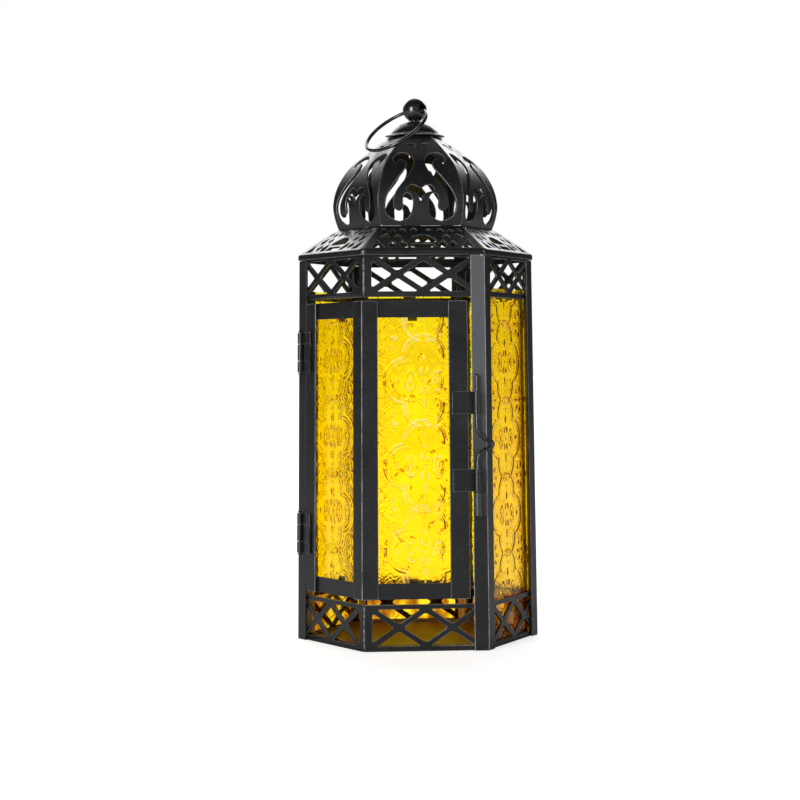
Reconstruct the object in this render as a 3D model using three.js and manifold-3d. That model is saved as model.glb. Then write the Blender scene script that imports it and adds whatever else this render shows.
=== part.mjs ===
// Hexagonal pierced metal lantern with amber glass panes, a folding glass door and an onion dome.
// Millimetres, +Z up. The origin is the centre of the base's underside and the front face looks
// along -Y. The door covers the front face and the face to its left, and is folded between them.

import * as THREE from 'three';
import { mergeVertices } from 'three/addons/utils/BufferGeometryUtils.js';
import Module from 'manifold-3d';

const wasm = await Module();
wasm.setup();

// ---------------------------------------------------------------- driving dimensions

const DEGREE = Math.PI / 180;
const TAN30 = Math.tan(30 * DEGREE);
const COS30 = Math.cos(30 * DEGREE);
const TINY = 0.01;
const FACES = 6;
const FACE_TURN = 60; // degrees from one face to the next

const CORNER_RADIUS = 57.2; // body corner radius at the base, outside the posts
const EAVES_Z = 181; // where the walls meet the roof
const EAVES_RADIUS = 55.1; // body corner radius at the eaves: the walls lean in slightly
const SIDE = CORNER_RADIUS; // a regular hexagon's side equals its corner radius
const APOTHEM = CORNER_RADIUS * COS30;

const SHEET = 1.0; // thickness of the pressed sheet
const GAP = 0.3; // clearance between separate pieces
const GLASS = 2.4; // thickness of the pressed glass

// Depths of the layers' outer faces from the posts' outer face, positive outwards.
const PANEL_OUT = -SHEET - GAP; // lattice panels
const DOOR_OUT = 0.7; // door stiles, which stand proud of the posts
const RAIL_OUT = DOOR_OUT - SHEET - GAP; // door rails
const FIXED_GLASS_OUT = PANEL_OUT - SHEET - GAP;
const DOOR_GLASS_OUT = RAIL_OUT - SHEET - GAP;
const CHANNEL_OUT = FIXED_GLASS_OUT - GLASS - GAP; // inner legs of the posts, behind the glass

const POST_LEG = 6.6;
const POST_TOP = 178.3;
const CHANNEL_LEG = 5.4;
const CHANNEL_FOOT = 2.7; // the channel starts above the base's upturned edge
const CHANNEL_TOP = 164.0; // and stops level with the top of the fixed glass

const BASE_SHEET = 1.2;
const BASE_EDGE_TOP = 2.4;

const LOWER_BAND = { bottom: 0, top: 21.2, openBottom: 2.4, openTop: 19.1 };
const UPPER_BAND = { bottom: 159.8, top: 180.2, openBottom: 162.3, openTop: 177.6 };
const LATTICE_CELL = 24.4; // width of one X of the lattice
const LATTICE_BAR = 2.5; // width of a diagonal bar
const LATTICE_CORNER = 0.9; // rounding of the openings
const LATTICE_END = 24.2; // the openings stop this far from a wall's middle
const LATTICE_SHIFT = { front_left: -1.5, front_right: 3.6 }; // walls whose pattern is off centre

const PANE_BOTTOM = 1.5;
const PANE_TOP = 164;

const DOOR_BOTTOM = 23.6;
const DOOR_TOP = 158.0;
const DOOR_OPEN_BOTTOM = 30.8;
const DOOR_OPEN_TOP = 150.5;
const HINGE_STILE = { near: 8.3, far: 16.4 }; // distances from the hinge corner
const LATCH_STILE = { near: 8.4, far: 17.3 }; // distances from the latch corner
const FOLD_LEG = 7.1;
const STILE_RETURN = 4.2; // depth of the stiles' folded outer edges
const DOOR_PANE = { bottom: 28, top: 153 };
const PANE_LAP = 3.4; // how far the door panes reach behind the outer stiles
const CLIP = { length: 4.4, foot: 0.6, reach: 1.5 }; // bent tabs that hold the door panes

const HINGE_AXIS = { fromCorner: 4.0, out: 1.6 };
const HINGE_RADIUS = 1.3;
const HINGE_BORE = 0.85;
const HINGE_PIN_RADIUS = 0.55;
const HINGES = [
  { name: 'lower', bottom: 41.2, top: 59.8 },
  { name: 'upper', bottom: 126.0, top: 144.6 },
];
const HINGE_KNUCKLE = 5.2;
const HINGE_LEAF = { door: 9.0, frame: 3.3 }; // reach of the leaves from the axis
const PIN_HEAD = { radius: 1.05, height: 0.6 };
const STRAP = 0.8; // thickness of the hinge leaves and the latch straps

const LATCH_AXIS = { fromCorner: 4.5, out: 2.0 };
const LATCH_RADIUS = 1.7;
const LATCH_BORE = 1.15;
const LATCH_STRAP = { guide: 11.4, keeper: 4.1 }; // reach of the straps from the axis
const BOLT_RADIUS = 0.85;
const GUIDES = [
  { name: 'lower', bottom: 71.9, top: 82.1 },
  { name: 'upper', bottom: 106.9, top: 117.1 },
];
const KEEPER = { bottom: 61.1, top: 71.3 };
const BOLT_TOP = 125.2;
const BOLT_TIP = 72.1;
const THUMB_Z = 93.2;
const THUMB_REACH = 7.1;

const RIM_RADIUS = 56.2;
const RIM_BOTTOM = 178.6;
const RIM_ROUND = 2.5;
const ROOF_TOP_Z = 192.8;
const ROOF_TOP_RADIUS = 37.4;
const ROOF_MOUTH_RADIUS = 29.5;
const ROOF_MARGIN = 3.2; // plain metal left beside a roof face's seams

const DOME_BASE_Z = 193.1;
// Corner radius and height along a dome gore, from its base over the belly to the crown.
const DOME_CURVE = [
  [36.6, DOME_BASE_Z], [38.4, 198.6], [39.1, 205.0], [36.9, 213.4],
  [31.4, 221.9], [22.8, 229.2], [12.9, 236.4],
];
const DOME_STEPS = 10;

const CAP_Z = 236.9;
const CAP_BRIM_RADIUS = 14.2;
const CAP_CROWN_RADIUS = 11.4;
const CAP_CREASE_Z = 238.0;
const CAP_TOP_Z = 244.3;
// The crown's outline from its crease to its top, as shares of its radius and its height.
const CAP_CROWN_CURVE = [
  [1, 0], [0.96, 0.16], [0.88, 0.36], [0.72, 0.62], [0.52, 0.82], [0.3, 0.95], [0, 1],
];
const STEM_RADIUS = 1.6;
const STEM_HOLE = STEM_RADIUS + GAP;
const STEM_BOTTOM = 228.0;
const CROWN_PLATE = { bottom: 231.5, radius: 14.0 };
const NUT = { bottom: 228.9, height: 2.3, radius: 3.9 };
const BALL_Z = 249.75;
const BALL_RADIUS = 5.65;
const BALL_HOLE_RADIUS = 2.25;
const NECK_RADIUS = 2.7;

const RING_RADIUS = 15.9; // to the middle of the wire
const RING_WIRE = 0.85;
const RING_HEADING = 219.3; // compass angle the ring lies towards, from +X
const RING_DROOP = 40.5; // degrees below level

// ---------------------------------------------------------------- materials

const paint = (name, color, roughness) =>
  new THREE.MeshStandardMaterial({ name, color, roughness, metalness: 0.4 });

const BLACK_PAINT = paint('black_paint', 0x26282b, 0.42);
const POST_PAINT = paint('post_paint', 0x2b2d31, 0.4);
const WIRE_PAINT = paint('wire_paint', 0x1b1c1e, 0.3);
const AMBER_GLASS = new THREE.MeshStandardMaterial({
  name: 'amber_glass', color: 0xf2b705, roughness: 0.12, metalness: 0,
  transparent: true, opacity: 0.5,
});
const BARE_STEEL = new THREE.MeshStandardMaterial({
  name: 'bare_steel', color: 0x8c8f93, roughness: 0.35, metalness: 0.9,
});

// ---------------------------------------------------------------- solids and helpers

// A closed three.js geometry as a solid that can be joined and cut.
function toSolid(geometry) {
  const bare = geometry.clone();
  bare.deleteAttribute('normal');
  bare.deleteAttribute('uv');
  const merged = mergeVertices(bare, 1e-4);
  return new wasm.Manifold(new wasm.Mesh({
    numProp: 3,
    vertProperties: new Float32Array(merged.attributes.position.array),
    triVerts: new Uint32Array(merged.index.array),
  }));
}

function toGeometry(solid) {
  const mesh = solid.getMesh();
  const geometry = new THREE.BufferGeometry();
  geometry.setAttribute('position', new THREE.BufferAttribute(mesh.vertProperties, 3));
  geometry.setIndex(new THREE.BufferAttribute(mesh.triVerts, 1));
  geometry.computeVertexNormals();
  return geometry;
}

const join = (...geometries) => toGeometry(geometries.map(toSolid).reduce((sum, s) => sum.add(s)));

const cut = (geometry, ...cutters) =>
  toGeometry(cutters.map(toSolid).reduce((rest, cutter) => rest.subtract(cutter), toSolid(geometry)));

const keepInside = (geometry, bounds) => toGeometry(toSolid(geometry).intersect(toSolid(bounds)));

// Scale of the body's plan at a height: 1 at the base, less towards the eaves, constant above.
function leanScale(z) {
  const lean = 1 - EAVES_RADIUS / CORNER_RADIUS;
  return 1 - lean * Math.min(z / EAVES_Z, 1);
}

// Leans a piece that was drawn with upright walls.
function lean(geometry) {
  const position = geometry.attributes.position;
  for (let i = 0; i < position.count; i += 1) {
    const scale = leanScale(position.getZ(i));
    position.setX(i, position.getX(i) * scale);
    position.setY(i, position.getY(i) * scale);
  }
  return geometry;
}

function polygon(points) {
  return new THREE.Shape(points.map(([x, y]) => new THREE.Vector2(x, y)));
}

// A closed outline whose corners are eased by a curve that starts `ease` before each corner.
function easedPolygon(points, ease) {
  const corners = points.map(([x, y]) => new THREE.Vector2(x, y));
  const shape = new THREE.Shape();
  corners.forEach((corner, i) => {
    const before = corners[(i + corners.length - 1) % corners.length];
    const after = corners[(i + 1) % corners.length];
    const start = before.clone().sub(corner).setLength(ease).add(corner);
    const end = after.clone().sub(corner).setLength(ease).add(corner);
    if (i === 0) shape.moveTo(start.x, start.y);
    else shape.lineTo(start.x, start.y);
    shape.quadraticCurveTo(corner.x, corner.y, end.x, end.y);
  });
  shape.closePath();
  return shape;
}

// Extrudes an outline in plan upwards from `bottom` to `top`.
function column(shape, bottom, top, curveSegments = 4) {
  const geometry = new THREE.ExtrudeGeometry(shape, {
    depth: top - bottom, bevelEnabled: false, curveSegments,
  });
  return geometry.translate(0, 0, bottom);
}

// Extrudes an elevation outline (x, z) through depth, from `out` inwards by `thickness`.
// `out` is measured from the posts' outer face of the front wall, positive outwards.
function frontPlate(shape, out, thickness) {
  const geometry = new THREE.ExtrudeGeometry(shape, {
    depth: thickness, bevelEnabled: false, curveSegments: 1,
  });
  return geometry.rotateX(90 * DEGREE).translate(0, -(APOTHEM + out) + thickness, 0);
}

// Extrudes a section drawn in (y, z) along x, equally to both sides of x = 0.
function sidewaysExtrusion(section, width) {
  const geometry = new THREE.ExtrudeGeometry(section, { depth: width, bevelEnabled: false });
  const swap = new THREE.Matrix4().set(0, 0, 1, 0, 1, 0, 0, 0, 0, 1, 0, 0, 0, 0, 0, 1);
  return geometry.applyMatrix4(swap).translate(-width / 2, 0, 0);
}

// A point of a wall in plan. The wall is the front one turned by `turn` degrees about Z.
function wallPoint(turn, x, out) {
  const point = new THREE.Vector2(x, -(APOTHEM + out));
  return point.rotateAround(new THREE.Vector2(), turn * DEGREE).toArray();
}

function box(x0, x1, z0, z1) {
  return polygon([[x0, z0], [x1, z0], [x1, z1], [x0, z1]]);
}

function hexagon(radius, ease = 0) {
  const points = Array.from({ length: FACES }, (_, i) => {
    const angle = i * FACE_TURN * DEGREE;
    return [radius * Math.cos(angle), radius * Math.sin(angle)];
  });
  return ease > 0 ? easedPolygon(points, ease) : polygon(points);
}

// A six-sided frustum whose corners lie at 0, 60, 120 ... degrees.
function hexFrustum(bottomRadius, topRadius, bottom, top) {
  const geometry = new THREE.CylinderGeometry(topRadius, bottomRadius, top - bottom, FACES);
  return geometry.rotateX(90 * DEGREE).rotateZ(90 * DEGREE).translate(0, 0, (top + bottom) / 2);
}

function rod(radius, bottom, top, segments = 16) {
  const geometry = new THREE.CylinderGeometry(radius, radius, top - bottom, segments);
  return geometry.rotateX(90 * DEGREE).translate(0, 0, (top + bottom) / 2);
}

function turned(profile, segments) {
  const points = profile.map(([r, z]) => new THREE.Vector2(r, z));
  return new THREE.LatheGeometry(points, segments).rotateX(90 * DEGREE);
}

// ---------------------------------------------------------------- scene graph

const lantern = new THREE.Group();

function place(name, geometry, material, turn = 0) {
  const mesh = new THREE.Mesh(geometry, material);
  mesh.name = name;
  mesh.rotation.z = turn * DEGREE;
  lantern.add(mesh);
  return mesh;
}

// Walls in order anticlockwise from the front; the door's left wing hangs in the last one.
const WALLS = ['front', 'front_right', 'back_right', 'back', 'back_left', 'front_left'];
const FRONT_LEFT_TURN = 300;

// ---------------------------------------------------------------- base

function basePlate() {
  const plateRadius = (APOTHEM + FIXED_GLASS_OUT) / COS30;
  const edgeOuter = (APOTHEM + CHANNEL_OUT) / COS30;
  const edge = hexagon(edgeOuter);
  edge.holes.push(hexagon(edgeOuter - BASE_SHEET));
  return lean(join(
    column(hexagon(plateRadius), 0, BASE_SHEET),
    column(edge, BASE_SHEET / 2, BASE_EDGE_TOP),
  ));
}

place('base_plate', basePlate(), BLACK_PAINT);

// ---------------------------------------------------------------- corner posts

// Half the web's width along a wall, measured from the corner, at a depth.
const webEdge = (out) => -out * TAN30 + SHEET / 2 / COS30;

// A folded strip round the corner at the right-hand end of the front wall.
function foldedStrip(leg, out, thickness) {
  const half = SIDE / 2;
  const outer = half + out * TAN30;
  const inner = half + (out - thickness) * TAN30;
  return polygon([
    wallPoint(0, half - leg, out),
    wallPoint(0, outer, out),
    wallPoint(FACE_TURN, -half + leg, out),
    wallPoint(FACE_TURN, -half + leg, out - thickness),
    wallPoint(0, inner, out - thickness),
    wallPoint(0, half - leg, out - thickness),
  ]);
}

// The web through the corner and the inner legs behind the glass on either or both walls.
function channelOutline(glassBefore, glassAfter) {
  const half = SIDE / 2;
  const start = -SHEET / 2;
  const end = CHANNEL_OUT - SHEET;
  const web = (out) => [webEdge(out), out];
  const leg = [web(CHANNEL_OUT), [CHANNEL_LEG, CHANNEL_OUT], [CHANNEL_LEG, end]];
  const after = [web(start), ...(glassAfter ? leg : [web(end)])];
  const before = [web(start), ...(glassBefore ? leg : [web(end)])].reverse();
  return polygon([
    ...after.map(([x, out]) => wallPoint(FACE_TURN, -half + x, out)),
    wallPoint(0, half + end * TAN30, end),
    ...before.map(([x, out]) => wallPoint(0, half - x, out)),
  ]);
}

function cornerPost(glassBefore, glassAfter) {
  return lean(join(
    column(foldedStrip(POST_LEG, 0, SHEET), 0, POST_TOP),
    column(channelOutline(glassBefore, glassAfter), CHANNEL_FOOT, CHANNEL_TOP),
  ));
}

const POSTS = [
  { name: 'corner_post_front_right', turn: 0, glassBefore: false, glassAfter: true },
  { name: 'corner_post_right', turn: 60, glassBefore: true, glassAfter: true },
  { name: 'corner_post_back_right', turn: 120, glassBefore: true, glassAfter: true },
  { name: 'corner_post_back_left', turn: 180, glassBefore: true, glassAfter: true },
  { name: 'corner_post_left', turn: 240, glassBefore: true, glassAfter: false },
];

for (const { name, turn, glassBefore, glassAfter } of POSTS) {
  place(name, cornerPost(glassBefore, glassAfter), POST_PAINT, turn);
}

// ---------------------------------------------------------------- lattice bands

// A convex outline cut off at x = -limit and x = limit.
function clippedSideways(points, limit) {
  let kept = points;
  for (const side of [-1, 1]) {
    const inside = ([x]) => side * x <= limit;
    kept = kept.flatMap((point, i, all) => {
      const next = all[(i + 1) % all.length];
      const share = (side * limit - point[0]) / (next[0] - point[0]);
      const crossing = [side * limit, point[1] + (next[1] - point[1]) * share];
      return [...(inside(point) ? [point] : []), ...(inside(point) === inside(next) ? [] : [crossing])];
    });
  }
  return kept;
}

// The openings that crossed pairs of bars leave in a band, shifted along the wall.
function latticeOpenings({ openBottom, openTop }, shift) {
  const w = LATTICE_CELL / 2;
  const h = (openTop - openBottom) / 2;
  const middle = (openTop + openBottom) / 2;
  const diagonal = Math.hypot(w, h);
  const tipRise = (LATTICE_BAR / 2) * diagonal / w; // from a crossing up to an opening's tip
  const tipRun = (LATTICE_BAR / 2) * diagonal / h; // from a crossing sideways to a tip
  const diamonds = [-2, 0, 2].map((cell) => cell * w + shift).map((x) => [
    [x, middle - h + tipRise], [x + w - tipRun, middle], [x, middle + h - tipRise], [x + tipRun - w, middle],
  ]);
  const triangles = [-3, -1, 1, 3].map((cell) => cell * w + shift).flatMap((x) => [-1, 1].map((up) => [
    [x, middle + up * tipRise], [x + w - tipRun, middle + up * h], [x - w + tipRun, middle + up * h],
  ]));
  const width = (points) => Math.max(...points.map(([x]) => x)) - Math.min(...points.map(([x]) => x));
  return [...diamonds, ...triangles]
    .map((points) => clippedSideways(points, LATTICE_END))
    .filter((points) => points.length > 2 && width(points) > 3 * LATTICE_CORNER);
}

// `mitredLeft` and `mitredRight` say which ends meet a neighbouring panel at a bare corner.
function latticePanel(band, shift, mitredLeft, mitredRight) {
  const postEnd = SIDE / 2 - webEdge(PANEL_OUT - SHEET) - GAP;
  const mitreEnd = SIDE / 2 + (PANEL_OUT - SHEET) * TAN30 - GAP / 2 / COS30;
  const left = mitredLeft ? -mitreEnd : -postEnd;
  const right = mitredRight ? mitreEnd : postEnd;
  const shape = box(left, right, band.bottom, band.top);
  shape.holes = latticeOpenings(band, shift).map((points) => easedPolygon(points, LATTICE_CORNER));
  const geometry = frontPlate(shape, PANEL_OUT, SHEET);
  const position = geometry.attributes.position;
  const middleY = -(APOTHEM + PANEL_OUT) + SHEET / 2;
  for (let i = 0; i < position.count; i += 1) {
    const x = position.getX(i);
    const atMitre = (mitredLeft && x < left + TINY) || (mitredRight && x > right - TINY);
    if (atMitre && position.getY(i) < middleY) {
      position.setX(i, x + Math.sign(x) * SHEET * TAN30);
    }
  }
  return lean(geometry);
}

for (const [label, band] of [['lower', LOWER_BAND], ['upper', UPPER_BAND]]) {
  WALLS.forEach((wall, i) => {
    const shift = LATTICE_SHIFT[wall] ?? 0;
    const panel = latticePanel(band, shift, wall === 'front', wall === 'front_left');
    place(`${label}_lattice_${wall}`, panel, BLACK_PAINT, i * FACE_TURN);
  });
}

// ---------------------------------------------------------------- fixed glass

const paneHalf = SIDE / 2 - webEdge(CHANNEL_OUT) - GAP;

WALLS.forEach((wall, i) => {
  if (wall.startsWith('front') && wall !== 'front_right') return;
  const pane = frontPlate(box(-paneHalf, paneHalf, PANE_BOTTOM, PANE_TOP), FIXED_GLASS_OUT, GLASS);
  place(`fixed_glass_${wall}`, lean(pane), AMBER_GLASS, i * FACE_TURN);
});

// ---------------------------------------------------------------- door

// A stile in plan: a flat strip on the wall with its outer edge folded inwards.
function stileOutline(edge, far) {
  const inward = Math.sign(far - edge);
  return polygon([
    [edge, -(APOTHEM + DOOR_OUT)],
    [far, -(APOTHEM + DOOR_OUT)],
    [far, -(APOTHEM + DOOR_OUT) + SHEET],
    [edge + inward * SHEET, -(APOTHEM + DOOR_OUT) + SHEET],
    [edge + inward * SHEET, -(APOTHEM + DOOR_OUT) + STILE_RETURN],
    [edge, -(APOTHEM + DOOR_OUT) + STILE_RETURN],
  ]);
}

const half = SIDE / 2;
const hingeEdges = stileOutline(-half + HINGE_STILE.near, -half + HINGE_STILE.far);
const latchEdges = stileOutline(half - LATCH_STILE.near, half - LATCH_STILE.far);
const hingeStile = column(hingeEdges, DOOR_BOTTOM, DOOR_TOP);
const latchStile = column(latchEdges, DOOR_BOTTOM, DOOR_TOP);
const foldStile = column(foldedStrip(FOLD_LEG, DOOR_OUT, SHEET), DOOR_BOTTOM, DOOR_TOP);

place('door_stile_hinge_side', lean(hingeStile), BLACK_PAINT, FRONT_LEFT_TURN);
place('door_stile_latch_side', lean(latchStile), BLACK_PAINT);
place('door_stile_fold', lean(foldStile), BLACK_PAINT, FRONT_LEFT_TURN);

// Each wing of the door in its own wall's coordinates: where its rails and its pane start and end.
const foldEnd = (out) => half + out * TAN30 - GAP;
const WINGS = [
  {
    name: 'left', turn: FRONT_LEFT_TURN,
    rail: [-half + HINGE_STILE.near + SHEET + GAP, foldEnd(RAIL_OUT - SHEET)],
    pane: [-half + HINGE_STILE.far - PANE_LAP, foldEnd(DOOR_GLASS_OUT - GLASS)],
    middle: (-half + HINGE_STILE.far + half - FOLD_LEG) / 2,
  },
  {
    name: 'right', turn: 0,
    rail: [-foldEnd(RAIL_OUT - SHEET), half - LATCH_STILE.near - SHEET - GAP],
    pane: [-foldEnd(DOOR_GLASS_OUT - GLASS), half - LATCH_STILE.far + PANE_LAP],
    middle: (half - LATCH_STILE.far - half + FOLD_LEG) / 2,
  },
];

// A bent tab behind the rail that laps over the pane's edge, drawn in section (y, z).
function glassClip(middle, up) {
  const edge = up > 0 ? DOOR_PANE.top + GAP : DOOR_PANE.bottom - GAP;
  const lap = up > 0 ? DOOR_OPEN_TOP - CLIP.reach : DOOR_OPEN_BOTTOM + CLIP.reach;
  const root = up > 0 ? DOOR_TOP - CLIP.foot : DOOR_BOTTOM + CLIP.foot;
  const behindRail = -(APOTHEM + DOOR_GLASS_OUT);
  const behindGlass = behindRail + GLASS + GAP;
  const section = polygon([
    [behindRail, root], [behindRail, edge], [behindGlass, edge], [behindGlass, lap],
    [behindGlass + STRAP, lap], [behindGlass + STRAP, edge + up * STRAP],
    [behindRail + STRAP, edge + up * STRAP], [behindRail + STRAP, root],
  ]);
  return sidewaysExtrusion(section, CLIP.length).translate(middle, 0, 0);
}

for (const { name, turn, rail, pane, middle } of WINGS) {
  const [railStart, railEnd] = rail;
  const [paneStart, paneEnd] = pane;
  const topRail = box(railStart, railEnd, DOOR_OPEN_TOP, DOOR_TOP);
  const bottomRail = box(railStart, railEnd, DOOR_BOTTOM, DOOR_OPEN_BOTTOM);
  const glass = box(paneStart, paneEnd, DOOR_PANE.bottom, DOOR_PANE.top);
  place(`door_rail_top_${name}`, lean(frontPlate(topRail, RAIL_OUT, SHEET)), BLACK_PAINT, turn);
  place(`door_rail_bottom_${name}`, lean(frontPlate(bottomRail, RAIL_OUT, SHEET)), BLACK_PAINT, turn);
  place(`door_glass_${name}`, lean(frontPlate(glass, DOOR_GLASS_OUT, GLASS)), AMBER_GLASS, turn);
  place(`glass_clip_top_${name}`, lean(glassClip(middle, 1)), BLACK_PAINT, turn);
  place(`glass_clip_bottom_${name}`, lean(glassClip(middle, -1)), BLACK_PAINT, turn);
}

// ---------------------------------------------------------------- hinges and latch

// A flat strap beside its barrel, `low` above the posts. `way` is the side it goes to.
function strapOutline(barrelX, way, reach, low) {
  const at = (x, out) => [x, -(APOTHEM + out)];
  return polygon([
    at(barrelX, low), at(barrelX + way * reach, low),
    at(barrelX + way * reach, low + STRAP), at(barrelX, low + STRAP),
  ]);
}

const ON_DOOR = DOOR_OUT + GAP;
const ON_POST = GAP;

const barrel = (x, out, radius, bottom, top) => rod(radius, bottom, top).translate(x, -(APOTHEM + out), 0);

const hingeX = -half + HINGE_AXIS.fromCorner;
const hingeBarrel = (radius, bottom, top) => barrel(hingeX, HINGE_AXIS.out, radius, bottom, top);

for (const { name, bottom, top } of HINGES) {
  const lowEnd = bottom + HINGE_KNUCKLE;
  const highStart = top - HINGE_KNUCKLE;
  const leaf = cut(
    join(
      hingeBarrel(HINGE_RADIUS, bottom, lowEnd),
      hingeBarrel(HINGE_RADIUS, highStart, top),
      column(strapOutline(hingeX, 1, HINGE_LEAF.door, ON_DOOR), bottom, top),
    ),
    hingeBarrel(HINGE_BORE, bottom - 1, top + 1),
    hingeBarrel(HINGE_RADIUS + GAP * 1.5, lowEnd, highStart),
  );
  const frameLeaf = cut(
    join(
      hingeBarrel(HINGE_RADIUS, lowEnd + GAP, highStart - GAP),
      column(strapOutline(hingeX, -1, HINGE_LEAF.frame, ON_POST), lowEnd + GAP, highStart - GAP),
    ),
    hingeBarrel(HINGE_BORE, bottom, top),
  );
  const pin = turned([
    [0, bottom - GAP - PIN_HEAD.height], [PIN_HEAD.radius, bottom - GAP - PIN_HEAD.height],
    [PIN_HEAD.radius, bottom - GAP], [HINGE_PIN_RADIUS, bottom - GAP],
    [HINGE_PIN_RADIUS, top + GAP], [PIN_HEAD.radius, top + GAP],
    [PIN_HEAD.radius, top + GAP + PIN_HEAD.height], [0, top + GAP + PIN_HEAD.height],
  ], 12).translate(hingeX, -(APOTHEM + HINGE_AXIS.out), 0);
  place(`hinge_${name}_door_leaf`, lean(leaf), BLACK_PAINT, FRONT_LEFT_TURN);
  place(`hinge_${name}_frame_leaf`, lean(frameLeaf), BLACK_PAINT, FRONT_LEFT_TURN);
  place(`hinge_${name}_pin`, lean(pin), WIRE_PAINT, FRONT_LEFT_TURN);
}

const latchX = half - LATCH_AXIS.fromCorner;
const latchBarrel = (radius, bottom, top) => barrel(latchX, LATCH_AXIS.out, radius, bottom, top);

for (const { name, bottom, top } of GUIDES) {
  const strap = strapOutline(latchX, -1, LATCH_STRAP.guide, ON_DOOR);
  const guide = cut(
    join(latchBarrel(LATCH_RADIUS, bottom, top), column(strap, bottom, top)),
    latchBarrel(LATCH_BORE, bottom - 1, top + 1),
  );
  place(`latch_guide_${name}`, lean(guide), BLACK_PAINT);
}

const keeper = cut(
  join(
    latchBarrel(LATCH_RADIUS, KEEPER.bottom, KEEPER.top),
    column(strapOutline(latchX, 1, LATCH_STRAP.keeper, ON_POST), KEEPER.bottom, KEEPER.top),
  ),
  latchBarrel(LATCH_BORE, KEEPER.bottom - 1, KEEPER.top + 1),
);
place('latch_keeper', lean(keeper), POST_PAINT);

// The bolt is one bent wire: straight in its guides, with a thumb bend between them.
function latchBolt() {
  const y = -(APOTHEM + LATCH_AXIS.out);
  const route = [
    [0, BOLT_TOP], [0, 117], [0, 108], [0, 100.2], [1.3, 97.6], [3.9, 95.2], [6.3, 94.6],
    [THUMB_REACH, THUMB_Z], [6.0, 91.8], [3.2, 90.6], [0.9, 88.6], [0, 85.6], [0, 79], [0, BOLT_TIP],
  ];
  const path = new THREE.CatmullRomCurve3(route.map(([x, z]) => new THREE.Vector3(latchX + x, y, z)));
  const wire = new THREE.Shape().absarc(0, 0, BOLT_RADIUS, 0, 2 * Math.PI);
  return new THREE.ExtrudeGeometry(wire, { extrudePath: path, steps: 38, curveSegments: 4 });
}

place('latch_bolt', lean(latchBolt()), WIRE_PAINT);

// ---------------------------------------------------------------- roof skirt

// One roof face in its own plane: p runs along the eaves, q up the slope from the rim.
const roofRun = (RIM_RADIUS - ROOF_TOP_RADIUS) * COS30;
const roofRise = ROOF_TOP_Z - EAVES_Z;
const roofSlope = Math.atan2(roofRise, roofRun);
const roofLength = Math.hypot(roofRun, roofRise);

function roofFaceOpenings() {
  const shapes = [];
  const lozenge = (p, q, w, h) => polygon([[p - w, q], [p, q - h], [p + w, q], [p, q + h]]);
  const rows = [
    { q: 4.4, first: 11.2, step: 7.0, w: 2.5, h: 2.0 },
    { q: 9.6, first: 10.6, step: 6.8, w: 2.4, h: 1.9 },
    { q: 15.2, first: 3.6, step: 7.0, w: 2.3, h: 1.8 },
  ];
  for (const { q, first, step, w, h } of rows) {
    const halfWidth = THREE.MathUtils.lerp(RIM_RADIUS, ROOF_TOP_RADIUS, q / roofLength) / 2;
    for (let p = first; p < halfWidth - ROOF_MARGIN; p += step) {
      shapes.push(lozenge(p, q, w, h), lozenge(-p, q, w, h));
    }
  }
  shapes.push(polygon([[-5.6, 2.2], [5.6, 2.2], [4.4, 4.6], [-4.4, 4.6]]));
  const fan = new THREE.Shape();
  fan.moveTo(-6, 6.2);
  fan.lineTo(6, 6.2);
  fan.quadraticCurveTo(5.2, 10.4, 0, 10.6);
  fan.quadraticCurveTo(-5.2, 10.4, -6, 6.2);
  shapes.push(fan);
  return shapes;
}

// Cutters through the front roof face, square to its slope.
function roofFaceCutters() {
  const deep = 6;
  return roofFaceOpenings().map((shape) => {
    const cutter = column(shape, -deep / 2, deep / 2).rotateX(roofSlope);
    return cutter.translate(0, -RIM_RADIUS * COS30, EAVES_Z);
  });
}

// A hollow hexagonal sheet: the rolled rim, the slope and the flat ledge round the mouth.
function roofSkirt() {
  const rimSteps = 3;
  const fall = roofRise / (RIM_RADIUS - ROOF_TOP_RADIUS); // height lost per unit of corner radius
  const slope = (radius, top, longer) =>
    hexFrustum(radius + longer, radius, top - longer * fall, top);
  const rimOutline = hexagon(RIM_RADIUS, RIM_ROUND);
  const slopeReach = RIM_RADIUS - ROOF_TOP_RADIUS + RIM_ROUND;
  const outside = join(
    keepInside(
      slope(ROOF_TOP_RADIUS, ROOF_TOP_Z, slopeReach),
      column(rimOutline, RIM_BOTTOM, ROOF_TOP_Z + 1, rimSteps),
    ),
    column(rimOutline, RIM_BOTTOM, EAVES_Z, rimSteps),
  );
  const ceiling = ROOF_TOP_Z - SHEET;
  const setIn = SHEET / Math.sin(roofSlope) / COS30; // corner radius lost by the underside
  const hollow = keepInside(
    slope(ROOF_TOP_RADIUS + SHEET / fall - setIn, ceiling, CORNER_RADIUS),
    column(hexagon(RIM_RADIUS - SHEET / COS30, RIM_ROUND * 0.6), RIM_BOTTOM - 1, ROOF_TOP_Z, rimSteps),
  );
  const mouth = column(hexagon(ROOF_MOUTH_RADIUS), ceiling - 1, ROOF_TOP_Z + 1);
  let skirt = toSolid(outside).subtract(toSolid(hollow)).subtract(toSolid(mouth));
  const cutters = roofFaceCutters().map(toSolid).reduce((sum, s) => sum.add(s));
  for (let i = 0; i < FACES; i += 1) skirt = skirt.subtract(cutters.rotate([0, 0, i * FACE_TURN]));
  return toGeometry(skirt);
}

place('roof_skirt', roofSkirt(), BLACK_PAINT);

// ---------------------------------------------------------------- dome

const domeCurve = new THREE.CatmullRomCurve3(
  DOME_CURVE.map(([radius, z]) => new THREE.Vector3(radius * COS30, z, 0)),
  false, 'catmullrom', 0.5,
);

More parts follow.
